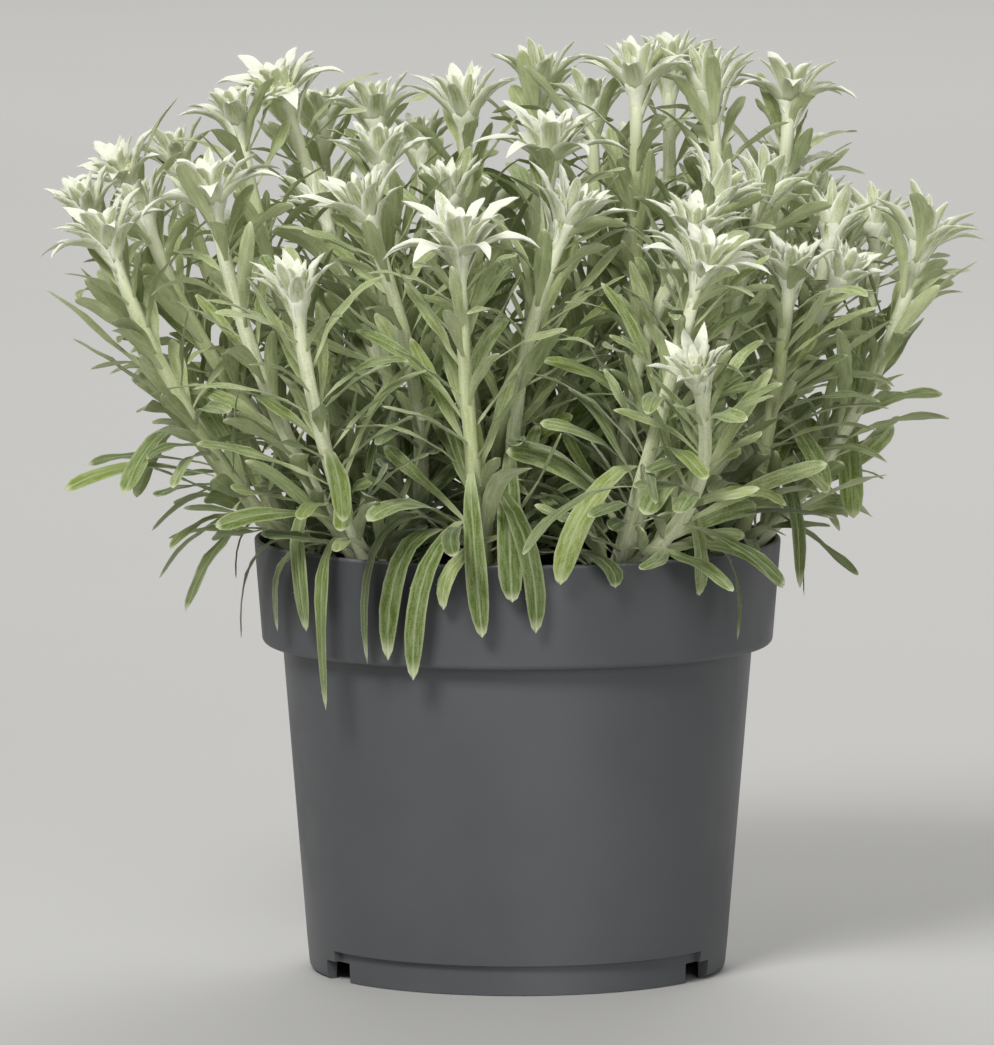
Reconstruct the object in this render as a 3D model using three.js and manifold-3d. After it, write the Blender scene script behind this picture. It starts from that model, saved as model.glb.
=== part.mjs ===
// Potted edelweiss: a nursery pot filled with compost, crowns of leafy stems set in it, and a
// felted white flower head on every stem. Millimetres, +Z up. The pot's axis is Z, its foot
// stands on z = 0, and the front of the plant faces -Y.
import * as THREE from "three";
import { mergeVertices } from "three/addons/utils/BufferGeometryUtils.js";
import Module from "manifold-3d";

// Pot: a round moulding with a collar at the top and a foot that is stepped in at front and back
const POT = {
  height: 99,
  rimRadius: 60,
  rimEdge: 1.2,
  wall: 1.2,
  collarFoot: 74.9,
  collarRadius: 58.3,
  collarRound: 1.5,
  neckRadius: 53.6,
  bodyFootRadius: 48.1,
  bodyFootHeight: 7,
  footRadius: 47.6,
  footRound: 1.8,
  footInner: 45.2,
  floor: 6,
  segments: 36,
};
const STEP_IN = { radius: 46.5, halfAngle: 60, azimuths: [-90, 90] };
const CUT_PAST = 2;
const NOTCH = { width: 9, top: 8, height: 4.5, azimuths: [30, 150, 210, 330], depth: 8 };
const DRAIN = { count: 6, radius: 4.5, ring: 30, segments: 10 };

// Compost, with a plain round hole for each crown
const CLEARANCE = 0.3;
const SOIL = { level: 93, crownRise: 1, holeRadius: 6.9, holeDepth: 18 };

// Crowns: where each rootstock stands in the pot, seen from above
// Each ring of a crown is a height above the compost and a radius.
const CROWN = {
  sides: 8,
  rings: [
    [-17, 4.8],
    [-10.2, 6],
    [1.2, 6],
    [3, 4.2],
  ],
  top: 5,
};
const CROWNS = [
  [-6, -42],
  [20, -38],
  [-31, -33],
  [-46, -6],
  [-24, -5],
  [0, -14],
  [26, -7],
  [47, -6],
  [-34, 30],
  [0, 38],
  [34, 30],
  [-1, 13],
];

// Stems: round, woolly and slightly tapering, leaning out and then turning up
const STEM = {
  footRadius: 2.3,
  topRadius: 1.9,
  sides: 5,
  bands: 3,
  bow: 0.35,
  rootSpread: 2.4,
  crownsTried: 4,
  leavingCrown: { out: 1.25, up: 0.8 },
  meetingHead: { out: 0.55, up: 1.2 },
};
const STEM_BOWS = [0, 5, -5, 10, -10, 15, -15, 20, -20];

// Leaves: narrow, widest past the middle, channelled above and keeled below
const LEAF_STATIONS = [
  [0, 0.3],
  [0.36, 0.85],
  [0.72, 1],
];
const SHORT_LEAF_STATIONS = [
  [0, 0.3],
  [0.56, 1],
];
const LONG_LEAF_STATIONS = [
  [0, 0.35],
  [0.28, 0.75],
  [0.52, 0.95],
  [0.78, 1],
];
const LEAF = { width: 4.6, keel: 1, rootReach: 5, shared: false };
const STEM_LEAF = {
  spacing: 19,
  first: 0.12,
  last: 0.97,
  lowLength: 38,
  highLength: 21,
  lengths: [0.85, 1.15],
  widths: [0.8, 1],
  rise: 44,
  riseRange: 16,
  droop: 0,
  droopRange: 24,
  shortFrom: 0.55,
};
const BASAL_LEAF = {
  shortest: 30,
  longest: 54,
  rise: 50,
  riseRange: -22,
  droop: -10,
  droopRange: 20,
  height: 0.5,
};

// What a leaf tries in order until it lies clear: flats further round its stem, a turn and a
// lift in degrees, and a share of its length
const LEAF_TRIES = [
  [0, 0, 0, 1],
  [0, 0, 12, 1],
  [0, 0, -12, 1],
  [0, 16, 4, 1],
  [0, -16, 4, 1],
  [1, 0, 0, 1],
  [-1, 0, 0, 1],
  [0, 30, 0, 1],
  [0, -30, 0, 1],
  [2, 0, 0, 1],
  [-2, 0, 0, 1],
  [0, 0, 8, 0.75],
  [0, 24, 6, 0.75],
  [0, -24, 6, 0.75],
  [1, 0, 8, 0.75],
  [-1, 0, 8, 0.75],
  [0, 0, 20, 0.55],
  [1, 0, 10, 0.55],
  [-1, 0, 10, 0.55],
];

// A leaf's root on a flat: half its width as a share of the flat, its reach up and down, the
// least lean of the leaf away from the flat, and its most twist in degrees from ring to ring
const ROOT = { halfShare: 0.28, above: 0.45, below: 0.8, edge: 0.06, leastLean: 0.3, mostTwist: 35 };

// Tips of the leaves that fall over the rim, and of those that mark the plant's outline
const FALLING_TIPS = [
  [-65, -20, 78],
  [-56, -34, 81],
  [-49, -43, 82],
  [-45, -49, 65],
  [-37, -54, 76],
  [-30, -58, 77],
  [-24, -61, 73],
  [-19, -63, 89],
  [-9, -65, 83],
  [-2, -66, 91],
  [5, -65, 84],
  [10, -66, 95],
  [23, -62, 94],
  [42, -51, 91],
  [52, -41, 80],
  [66, -24, 90],
  [68, 14, 84],
  [38, 54, 86],
  [12, 66, 84],
  [-12, 65, 74],
  [-36, 55, 84],
  [-56, 35, 80],
  [-67, 12, 88],
];
const OUTLINE_TIPS = [
  [-106, -12, 158],
  [-101, 4, 145],
  [-97, -16, 140],
  [-94, 14, 136],
  [-98, -4, 117],
  [-103, -22, 113],
  [-89, -32, 113],
  [-88, 16, 107],
  [-84, -14, 103],
  [-83, 2, 90],
  [-76, -30, 86],
  [101, -6, 157],
  [92, 12, 149],
  [86, -16, 136],
  [84, 4, 113],
  [70, -30, 113],
  [76, -14, 105],
  [75, 18, 99],
  [78, -8, 92],
  [-52, 80, 118],
  [-18, 90, 126],
  [20, 92, 112],
  [54, 78, 124],
  [-70, 62, 108],
  [72, 58, 110],
  [-38, -82, 112],
  [0, -90, 106],
  [28, -86, 114],
];
const TIP_LEAF = {
  shortest: 26,
  lifts: [6, 10, 3, 14, 18, 0, 24],
  bends: [0.3, 0.7],
  step: 0.04,
  highest: 0.62,
  tried: 150,
};
const FALLING = {
  lifts: [5, 8, 11, 14, 17, 21, 26],
  out: 9,
  clear: 67,
  overRim: 0.85,
  rootTop: 120,
  rootRadius: 56,
};

// Flower heads: x, y and z of the base, length of the bracts, and how far they have opened
const HEADS = [
  [-97, -5, 172, 10, 0.2],
  [-91, -30, 166, 14.5, 0.75],
  [-89, 16, 178, 11, 0.5],
  [-63, 3, 191, 12, 0.55],
  [-53, 14, 197, 13, 0.9],
  [-68, -35, 176, 16, 0.9],
  [-49, -60, 156, 12, 0.2],
  [-78, 38, 180, 10, 0.35],
  [-45, 42, 189, 10, 0.4],
  [-32, 20, 191, 12, 0.55],
  [-31, -13, 183, 12, 0.4],
  [-33, -40, 173, 14, 0.35],
  [-22, 20, 184, 10, 0.3],
  [-12, 0, 193, 15, 0.4],
  [5, 42, 197, 12, 0.35],
  [7, -20, 185, 16, 0.85],
  [17, 26, 193, 10, 0.45],
  [-13, -62, 167, 17, 1],
  [10, -46, 172, 14, 0.3],
  [-15, -24, 176, 10, 0.1],
  [25, 48, 179, 10, 0.4],
  [27, -4, 200, 15, 0.6],
  [35, 30, 201, 12, 0.5],
  [44, 4, 197, 15, 0.3],
  [62, 10, 196, 14, 0.85],
  [62, 38, 180, 10, 0.3],
  [55, -12, 176, 12, 0.5],
  [43, -31, 176, 13, 0.35],
  [39, -51, 170, 11, 0.4],
  [40, -70, 163, 15, 0.7],
  [67, 22, 171, 10, 0.2],
  [71, 1, 167, 11, 0.2],
  [77, 42, 164, 9, 0.25],
  [82, 17, 166, 11, 0.25],
  [91, -6, 164, 15, 0.5],
  [61, -34, 159, 10, 0.25],
  [72, -18, 158, 10, 0.25],
  [40, -78, 141, 10, 0.2],
  [-44, 8, 172, 10, 0.1],
  [-84, -12, 172, 9, 0.2],
  [29, 10, 172, 9, 0.15],
  [-62, 60, 160, 12, 0.6],
  [-36, 72, 164, 13, 0.45],
  [-6, 76, 166, 12, 0.7],
  [26, 74, 162, 13, 0.5],
  [52, 64, 160, 12, 0.6],
];
const HEAD = {
  gap: 0.35,
  bracts: 6,
  heights: [0, 2.3, 4.3],
  radii: [1.9, 3.4, 2.6],
  top: 4.9,
  relief: 0.4,
  beads: { heights: [1.4, 3.4], radius: 3.06 },
};
const HEAD_STEP = 360 / HEAD.bracts;
const BRACT_STATIONS = [
  [0, 0.7],
  [0.42, 1],
];
const BRACT = { width: 4.4, shutWidth: 2.6, keel: 1.2, curl: 12, tilt: 12, lengths: [0.85, 1.12] };
const OUTER_WHORL = { length: 1, width: 1, steepest: 70, shut: [60, 76], open: [30, -10] };
const INNER_WHORL = { length: 0.6, width: 0.75, steepest: 80, shut: [80, 88], open: [66, 40] };
// What a bract tries in order: a turn, a lift and a share of its length
const BRACT_TRIES = [
  [0, 0, 1],
  [8, 6, 1],
  [-8, 6, 1],
  [0, 18, 1],
  [0, 30, 0.9],
  [10, 24, 0.85],
  [-10, 24, 0.85],
  [0, 42, 0.75],
];

// Room that leaves keep from each other, and the beads that stand for them while they are placed
const GAP = 0.45;
const BEAD = { step: 1.6, smallest: 0.7, keelDrop: 0.4, stemStep: 2.4, cell: 5.4 };

// Where the random numbers of each kind of piece start
const SEEDS = { stemLeaves: 1000, basalLeaves: 2000, heads: 3000 };

const COLOURS = {
  pot: { color: 0x4c4e50, roughness: 0.55, metalness: 0 },
  soil: { color: 0x3a2c20, roughness: 1, metalness: 0 },
  leaf: { color: 0x7c8a5c, roughness: 0.9, metalness: 0 },
  bract: { color: 0xe4e6d4, roughness: 0.95, metalness: 0 },
};

const UP = new THREE.Vector3(0, 0, 1);
const radians = THREE.MathUtils.degToRad;
const blend = THREE.MathUtils.lerp;
const { clamp } = THREE.MathUtils;
const at = (x, y, z) => new THREE.Vector3(x, y, z);

function middleOf(points) {
  return points.reduce((sum, point) => sum.add(point), at(0, 0, 0)).divideScalar(points.length);
}

const wasm = await Module();
wasm.setup();

// A closed geometry as a solid that can be joined and cut
function solidOf(geometry) {
  geometry.deleteAttribute("normal");
  geometry.deleteAttribute("uv");
  const merged = mergeVertices(geometry);
  return new wasm.Manifold(
    new wasm.Mesh({
      numProp: 3,
      vertProperties: merged.attributes.position.array,
      triVerts: new Uint32Array(merged.index.array),
    }),
  );
}

// The mesh of a solid, under its node's name
function meshOf(name, solid, finish) {
  const made = solid.getMesh();
  const geometry = new THREE.BufferGeometry();
  geometry.setAttribute("position", new THREE.BufferAttribute(made.vertProperties, 3));
  geometry.setIndex(new THREE.BufferAttribute(made.triVerts, 1));
  geometry.computeVertexNormals();
  const mesh = new THREE.Mesh(geometry, new THREE.MeshStandardMaterial(finish));
  mesh.name = name;
  return mesh;
}

const joined = (solids) => solids.reduce((all, next) => all.add(next));

// Numbers from 0 to 1 that are the same on every run
function randomFrom(seed) {
  let state = seed >>> 0;
  return () => {
    state = (state + 0x6d2b79f5) >>> 0;
    let mixed = Math.imul(state ^ (state >>> 15), 1 | state);
    mixed = (mixed + Math.imul(mixed ^ (mixed >>> 7), 61 | mixed)) ^ mixed;
    return ((mixed ^ (mixed >>> 14)) >>> 0) / 4294967296;
  };
}

// A surface that is built up face by face, each one anticlockwise seen from outside
class Surface {
  constructor() {
    this.points = [];
    this.faces = [];
  }

  point(place) {
    return this.points.push(place) - 1;
  }

  face(...corners) {
    this.faces.push(...corners);
  }

  // A band from one ring to the next of equal count, both clockwise seen from the far end
  band(near, far) {
    near.forEach((a, i) => {
      const [b, c, d] = [near[(i + 1) % near.length], far[i], far[(i + 1) % far.length]];
      this.face(a, c, b);
      this.face(b, c, d);
    });
  }

  // The end beyond a ring: drawn to a tip, or closed flat
  close(ring, tip) {
    if (tip) {
      const point = this.point(tip);
      ring.forEach((corner, i) => this.face(corner, point, ring[(i + 1) % ring.length]));
      return;
    }
    for (let i = 2; i < ring.length; i += 1) this.face(ring[0], ring[i], ring[i - 1]);
  }

  // A blade drawn out of a three-sided flat, or the flat itself where there is no blade
  grow(flat, blade) {
    if (!blade) {
      this.close(flat);
      return;
    }
    const { rings, tip } = bladeRings(blade);
    const ends = rings.slice(1).map((ring) => ring.map((place) => this.point(place)));
    [flat, ...ends].reduce((near, far) => {
      this.band(near, far);
      return far;
    });
    this.close(ends.at(-1), tip);
  }

  // A four-sided flat that is open round a blade's root, and the blade drawn out of it
  growOnFlat([lowRight, highRight, highLeft, lowLeft], root, blade) {
    const [left, keel, right] = root.map((place) => this.point(place));
    this.face(highRight, highLeft, right, highRight, right, left);
    this.face(highLeft, lowLeft, right, lowLeft, keel, right);
    this.face(lowLeft, lowRight, keel);
    this.face(lowRight, highRight, left, lowRight, left, keel);
    this.grow([left, keel, right], blade);
  }

  geometry() {
    const geometry = new THREE.BufferGeometry();
    const numbers = this.points.flatMap((place) => place.toArray());
    geometry.setAttribute("position", new THREE.Float32BufferAttribute(numbers, 3));
    return geometry.setIndex(this.faces);
  }
}

// A ring of points round `axis`, clockwise seen from the end that `axis` points to
function ringRound(centre, axis, radius, sides, start = 0) {
  return Array.from({ length: sides }, (_, i) =>
    centre.clone().addScaledVector(spoke(axis, start - (360 * i) / sides), radius),
  );
}

// A unit vector square to `axis`, `azimuth` degrees round it from the side nearest +X
function spoke(axis, azimuth) {
  const first = at(1, 0, 0).addScaledVector(axis, -axis.x).normalize();
  const second = axis.clone().cross(first);
  const angle = radians(azimuth);
  return first.multiplyScalar(Math.cos(angle)).addScaledVector(second, Math.sin(angle));
}

// A point on the cubic curve through four control points, and the unit heading there
function curvePoint([a, b, c, d], t) {
  const s = 1 - t;
  return at(0, 0, 0)
    .addScaledVector(a, s * s * s)
    .addScaledVector(b, 3 * s * s * t)
    .addScaledVector(c, 3 * s * t * t)
    .addScaledVector(d, t * t * t);
}

function curveHeading([a, b, c, d], t) {
  const s = 1 - t;
  return at(0, 0, 0)
    .addScaledVector(b.clone().sub(a), s * s)
    .addScaledVector(c.clone().sub(b), 2 * s * t)
    .addScaledVector(d.clone().sub(c), t * t)
    .normalize();
}

// Pot

const insideOf = (radius) => radius - POT.wall;
const ROUND_MIDDLE = 1 - Math.SQRT1_2;

function potProfile() {
  const { footRadius, footRound, bodyFootRadius, bodyFootHeight, collarFoot, collarRadius } = POT;
  const round = POT.collarRound;
  const shelf = collarFoot + POT.wall;
  return [
    [0, POT.floor],
    [POT.footInner, POT.floor],
    [POT.footInner, 0],
    [footRadius - footRound, 0],
    [footRadius - footRound * ROUND_MIDDLE, footRound * ROUND_MIDDLE],
    [footRadius, footRound],
    [bodyFootRadius, bodyFootHeight],
    [POT.neckRadius, collarFoot],
    [collarRadius - round, collarFoot],
    [collarRadius - round * ROUND_MIDDLE, collarFoot + round * ROUND_MIDDLE],
    [collarRadius, collarFoot + round],
    [POT.rimRadius, POT.height - POT.rimEdge],
    [POT.rimRadius, POT.height],
    [insideOf(POT.rimRadius), POT.height],
    [insideOf(collarRadius), shelf],
    [insideOf(POT.neckRadius), shelf],
    [insideOf(bodyFootRadius), POT.floor + POT.wall],
    [0, POT.floor + POT.wall],
  ];
}

function lathe(profile) {
  const points = profile.map(([radius, height]) => new THREE.Vector2(radius, height));
  return solidOf(new THREE.LatheGeometry(points, POT.segments).rotateX(Math.PI / 2));
}

// The ring outside the stepped-in skirt, over one arc of the foot
function stepCutter(azimuth) {
  const [from, to] = [azimuth - STEP_IN.halfAngle, azimuth + STEP_IN.halfAngle].map(radians);
  const shape = new THREE.Shape();
  shape.absarc(0, 0, POT.rimRadius, from, to, false);
  shape.absarc(0, 0, STEP_IN.radius, to, from, true);
  const depth = POT.bodyFootHeight + CUT_PAST;
  const curveSegments = (POT.segments * STEP_IN.halfAngle) / 360;
  const block = new THREE.ExtrudeGeometry(shape, { depth, bevelEnabled: false, curveSegments });
  return solidOf(block.translate(0, 0, -CUT_PAST));
}

// A small drain notch through the foot's wall, open below
function notchCutter(azimuth) {
  const { width, top, height, depth } = NOTCH;
  const shape = new THREE.Shape();
  shape.moveTo(-width / 2, -CUT_PAST);
  shape.lineTo(width / 2, -CUT_PAST);
  shape.lineTo(top / 2, height);
  shape.lineTo(-top / 2, height);
  const block = new THREE.ExtrudeGeometry(shape, { depth, bevelEnabled: false });
  block.rotateX(Math.PI / 2).translate(0, CUT_PAST - POT.footInner, 0);
  return solidOf(block.rotateZ(radians(azimuth + 90)));
}

// A plug that stands on end, for the drain holes and the holes in the compost
function plugCutter(radius, height, sides, centre) {
  const plug = new THREE.CylinderGeometry(radius, radius, height, sides).rotateX(Math.PI / 2);
  return solidOf(plug.translate(...centre));
}

function drainCutter(i) {
  const angle = radians((360 * i) / DRAIN.count);
  const centre = [DRAIN.ring * Math.cos(angle), DRAIN.ring * Math.sin(angle), POT.floor + POT.wall / 2];
  return plugCutter(DRAIN.radius, POT.wall + CUT_PAST, DRAIN.segments, centre);
}

function makePot() {
  const cutters = [
    ...STEP_IN.azimuths.map(stepCutter),
    ...NOTCH.azimuths.map(notchCutter),
    ...Array.from({ length: DRAIN.count }, (_, i) => drainCutter(i)),
  ];
  return cutters.reduce((pot, cutter) => pot.subtract(cutter), lathe(potProfile()));
}

// Compost

// Compost fills the pot's inside, and rises a little from its brim to its middle
function soilProfile() {
  const gap = CLEARANCE + POT.wall;
  const bottom = POT.floor + gap;
  const shelf = POT.collarFoot + gap;
  const share = (SOIL.level - POT.collarFoot) / (POT.height - POT.collarFoot);
  const brim = blend(POT.collarRadius, POT.rimRadius, share) - gap;
  return [
    [0, bottom],
    [POT.bodyFootRadius - gap, bottom],
    [POT.neckRadius - gap, shelf],
    [POT.collarRadius - gap, shelf],
    [brim, SOIL.level],
    [0, SOIL.level + SOIL.crownRise],
  ];
}

function holeCutter([x, y]) {
  const height = SOIL.holeDepth + SOIL.crownRise + CUT_PAST;
  const centre = [x, y, SOIL.level - SOIL.holeDepth + height / 2];
  return plugCutter(SOIL.holeRadius, height, CROWN.sides, centre);
}

function makeSoil() {
  return CROWNS.map(holeCutter).reduce((soil, cutter) => soil.subtract(cutter), lathe(soilProfile()));
}

// Room for the leaves: every placed piece leaves beads here, so that the next one can keep clear

class Room {
  constructor() {
    this.cells = new Map();
  }

  cell(value) {
    return Math.floor(value / BEAD.cell);
  }

  key(i, j, k) {
    return (i + 100) * 40000 + (j + 100) * 200 + k + 100;
  }

  fill(owner, beads) {
    for (const bead of beads) {
      const key = this.key(...bead.centre.toArray().map(this.cell));
      if (!this.cells.has(key)) this.cells.set(key, []);
      this.cells.get(key).push({ ...bead, owner });
    }
  }

  // The beads in a bead's own cell and in the 26 round it
  *near(bead) {
    const [i, j, k] = bead.centre.toArray().map(this.cell);
    for (let a = i - 1; a <= i + 1; a += 1) {
      for (let b = j - 1; b <= j + 1; b += 1) {
        for (let c = k - 1; c <= k + 1; c += 1) yield* this.cells.get(this.key(a, b, c)) ?? [];
      }
    }
  }

  // Beads at a root may touch the shared beads of their own plant, and nothing else
  isFree(owner, beads) {
    return beads.every((bead) => {
      if (meetsPot(bead)) return false;
      for (const other of this.near(bead)) {
        if (bead.atRoot && other.shared && other.owner === owner) continue;
        if (bead.centre.distanceTo(other.centre) < bead.radius + other.radius + GAP) return false;
      }
      return true;
    });
  }
}

// Whether a bead reaches the compost, or the pot from above or from outside
function meetsPot({ centre, radius, atRoot }) {
  const out = Math.hypot(centre.x, centre.y);
  if (out < insideOf(POT.rimRadius) - radius - GAP) {
    return !atRoot && centre.z - radius < SOIL.level + SOIL.crownRise + GAP;
  }
  return out - radius < POT.rimRadius + GAP && centre.z - radius < POT.height + GAP;
}

// Stalks: the stems and the crowns that they rise from, each a stack of rings with flats between

class Stalk {
  constructor(owner, rings, tip) {
    this.owner = owner;
    this.rings = rings;
    this.tip = tip;
    this.leaves = new Map();
  }

  flatKey(band, side) {
    return band * this.rings[0].length + side;
  }

  isTaken({ band, side }) {
    return this.leaves.has(this.flatKey(band, side));
  }

  // The left edge, keel and right edge of a root at a share of a flat's height
  rootOn({ band, side, height }) {
    const next = (side + 1) % this.rings[0].length;
    const [low, high] = [this.rings[band], this.rings[band + 1]];
    const tall = low[side].distanceTo(high[side]);
    const spot = (across, up) => {
      const [left, right] = [next, side].map((i) => low[i].clone().lerp(high[i], up));
      return left.lerp(right, 0.5 + across);
    };
    const top = height + ROOT.above / tall;
    return [spot(ROOT.halfShare, top), spot(0, height - ROOT.below / tall), spot(-ROOT.halfShare, top)];
  }

  // The unit vector square to a flat, out of the stalk
  facing({ band, side }) {
    const next = (side + 1) % this.rings[0].length;
    const [low, high] = [this.rings[band], this.rings[band + 1]];
    const up = middleOf([high[side], high[next]]).sub(middleOf([low[side], low[next]]));
    return low[side].clone().sub(low[next]).cross(up).normalize();
  }

  // Whether a blade leaves its flat outwards, with little twist from ring to ring
  suits(place, blade) {
    const rings = [this.rootOn(place), ...bladeRings(blade).rings.slice(1)];
    const lean = curveHeading(blade.curve, 0).dot(this.facing(place));
    const isStraight = (ring, i) => twistBetween(rings[i], ring) < radians(ROOT.mostTwist);
    return lean > ROOT.leastLean && rings.slice(1).every(isStraight);
  }

  hold(place, blade) {
    this.leaves.set(this.flatKey(place.band, place.side), { place, blade });
  }

  solid() {
    const surface = new Surface();
    const corners = this.rings.map((ring) => ring.map((place) => surface.point(place)));
    const sides = this.rings[0].length;
    surface.close([...corners[0]].reverse());
    for (let band = 0; band + 1 < corners.length; band += 1) {
      for (let side = 0; side < sides; side += 1) {
        const next = (side + 1) % sides;
        const [near, far] = [corners[band], corners[band + 1]];
        const flat = [near[side], far[side], far[next], near[next]];
        const leaf = this.leaves.get(this.flatKey(band, side));
        if (leaf) surface.growOnFlat(flat, this.rootOn(leaf.place), leaf.blade);
        else surface.face(flat[0], flat[1], flat[3], flat[3], flat[1], flat[2]);
      }
    }
    surface.close(corners.at(-1), this.tip);
    return solidOf(surface.geometry());
  }
}

// A stem's curve: out of the crown towards its head, then up into it, bowed sideways by `bow`
function stemCurve(head, crown, bow) {
  const top = at(...head);
  const centre = at(crown[0], crown[1], SOIL.level);
  const across = at(top.x - centre.x, top.y - centre.y, 0);
  const rise = top.z - centre.z;
  const root = centre.addScaledVector(across.clone().normalize(), STEM.rootSpread);
  const heading = ({ out, up }) => at(across.x * out, across.y * out, rise * up).normalize();
  const [first, last] = [heading(STEM.leavingCrown), heading(STEM.meetingHead)];
  const reach = root.distanceTo(top) * STEM.bow;
  const sideways = across.clone().cross(UP).normalize().multiplyScalar(bow);
  const end = top.addScaledVector(last, -HEAD.gap);
  return [
    root,
    root.clone().addScaledVector(first, reach).add(sideways),
    end.clone().addScaledVector(last, -reach).add(sideways),
    end,
  ];
}

function stemRadius(t) {
  return blend(STEM.footRadius, STEM.topRadius, t);
}

function stemRings(curve) {
  return Array.from({ length: STEM.bands + 1 }, (_, i) => {
    const t = i / STEM.bands;
    return ringRound(curvePoint(curve, t), curveHeading(curve, t), stemRadius(t), STEM.sides);
  });
}

// Beads along the straight runs between a stem's rings
function stemBeads(curve) {
  const beads = [];
  for (let band = 0; band < STEM.bands; band += 1) {
    const [from, to] = [band / STEM.bands, (band + 1) / STEM.bands];
    const [a, b] = [curvePoint(curve, from), curvePoint(curve, to)];
    const steps = Math.ceil(a.distanceTo(b) / BEAD.stemStep);
    for (let i = 0; i < steps; i += 1) {
      const centre = a.clone().lerp(b, i / steps);
      const atRoot = centre.z < SOIL.level + CROWN.top + STEM.footRadius;
      beads.push({ centre, radius: stemRadius(blend(from, to, i / steps)), atRoot, shared: true });
    }
  }
  return beads;
}

// The crowns by their distance from the point half way out to the head
function crownsNear([x, y]) {
  const away = ([crownX, crownY]) => Math.hypot(crownX - x / 2, crownY - y / 2);
  return CROWNS.map((_, i) => i).sort((a, b) => away(CROWNS[a]) - away(CROWNS[b]));
}

// The stem of one head: from the nearest crown that has a clear way to it
function growStem(head, room) {
  for (const crown of crownsNear(head).slice(0, STEM.crownsTried)) {
    const curves = STEM_BOWS.map((bow) => stemCurve(head, CROWNS[crown], bow));
    const curve = curves.find((tried) => room.isFree(crown, stemBeads(tried)));
    if (!curve) continue;
    room.fill(crown, stemBeads(curve));
    return { curve, stalk: new Stalk(crown, stemRings(curve)), axis: curveHeading(curve, 1) };
  }
  throw new Error(`no clear way for the stem to ${head}`);
}

function makeCrown([x, y], owner) {
  const rings = CROWN.rings.map(([height, radius]) =>
    ringRound(at(x, y, SOIL.level + height), UP, radius, CROWN.sides),
  );
  return new Stalk(owner, rings, at(x, y, SOIL.level + CROWN.top));
}

// Blades: leaves and bracts with a flat or channelled face above and a keel below

// A blade that leaves its root at `rise` degrees and turns evenly to `droop` at its tip
function archedBlade(root, outward, axis, shape) {
  const { length, rise, droop, ...form } = shape;
  const towards = (angle) => {
    const level = outward.clone().multiplyScalar(Math.cos(radians(angle)));
    return level.addScaledVector(axis, Math.sin(radians(angle)));
  };
  const turn = radians(droop - rise) / 2;
  const chord = turn === 0 ? length : (length * Math.sin(turn)) / turn;
  const tip = root.clone().addScaledVector(towards((rise + droop) / 2), chord);
  const curve = [
    root,
    root.clone().addScaledVector(towards(rise), length / 3),
    tip.clone().addScaledVector(towards(droop), -length / 3),
    tip,
  ];
  return { curve, side: axis.clone().cross(outward), ...form };
}

// Centre, sideways direction, upward direction and half width at each station and at the tip
function bladeSections({ curve, side, width, stations }) {
  return [...stations, [1, 0]].map(([t, share]) => {
    const heading = curveHeading(curve, t);
    const normal = heading.clone().cross(side).normalize();
    const across = normal.clone().cross(heading);
    return { centre: curvePoint(curve, t), across, normal, half: (width * share) / 2 };
  });
}

// A blade's rings, each with its left edge, keel and right edge, and its tip
function bladeRings(blade) {
  const sections = bladeSections(blade);
  const tip = sections.pop().centre;
  const rings = sections.map(({ centre, across, normal, half }) => [
    centre.clone().addScaledVector(across, half),
    centre.clone().addScaledVector(normal, -blade.keel),
    centre.clone().addScaledVector(across, -half),
  ]);
  return { rings, tip };
}

// The angle between the widths of two of a blade's rings
function twistBetween(near, far) {
  return near[0].clone().sub(near[2]).angleTo(far[0].clone().sub(far[2]));
}

// Three beads side by side along the straight runs between a blade's sections
function bladeBeads(blade) {
  const beads = [];
  const sections = bladeSections(blade);
  let run = 0;
  for (let i = 1; i < sections.length; i += 1) {
    const [a, b] = [sections[i - 1], sections[i]];
    const length = a.centre.distanceTo(b.centre);
    const steps = Math.ceil(length / BEAD.step);
    for (let step = 0; step < steps; step += 1) {
      const share = step / steps;
      const middle = a.centre.clone().lerp(b.centre, share);
      const half = blend(a.half, b.half, share);
      const atRoot = run + length * share < blade.rootReach;
      const bead = { radius: Math.max(half / 3, BEAD.smallest), atRoot, shared: blade.shared };
      const lowered = middle.clone().addScaledVector(a.normal, -BEAD.keelDrop);
      beads.push({ ...bead, centre: lowered });
      for (const way of [-2 / 3, 2 / 3]) {
        beads.push({ ...bead, centre: middle.clone().addScaledVector(a.across, half * way) });
      }
    }
    run += length;
  }
  const atRoot = run < blade.rootReach;
  beads.push({ centre: sections.at(-1).centre, radius: BEAD.smallest, atRoot, shared: blade.shared });
  return beads;
}

// The first of the blades that lies clear, or nothing
function placeFirst(blades, owner, room) {
  for (const blade of blades) {
    const beads = bladeBeads(blade);
    if (!room.isFree(owner, beads)) continue;
    room.fill(owner, beads);
    return blade;
  }
  return undefined;
}

// A leaf on the first flat, at the first turn, lift and length, where it lies clear
function placeLeaf({ stalk, band, side, height, axis, shape }, room) {
  const sides = stalk.rings[0].length;
  for (const [further, turn, lift, share] of LEAF_TRIES) {
    const place = { band, height, side: (side + further + sides) % sides };
    if (stalk.isTaken(place)) continue;
    const azimuth = (-360 * (place.side + 0.5)) / sides + turn;
    const blade = archedBlade(middleOf(stalk.rootOn(place)), spoke(axis, azimuth), axis, {
      ...shape,
      length: shape.length * share,
      rise: shape.rise + lift,
      droop: shape.droop + lift,
    });
    if (!stalk.suits(place, blade) || !placeFirst([blade], stalk.owner, room)) continue;
    stalk.hold(place, blade);
    return;
  }
}

// The band of a stem that holds the share `t` of its length, and the height in that band
function placeOnStem(t) {
  const band = Math.floor(t * STEM.bands);
  return { band, height: clamp(t * STEM.bands - band, ROOT.edge, 1 - ROOT.edge) };
}

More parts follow.
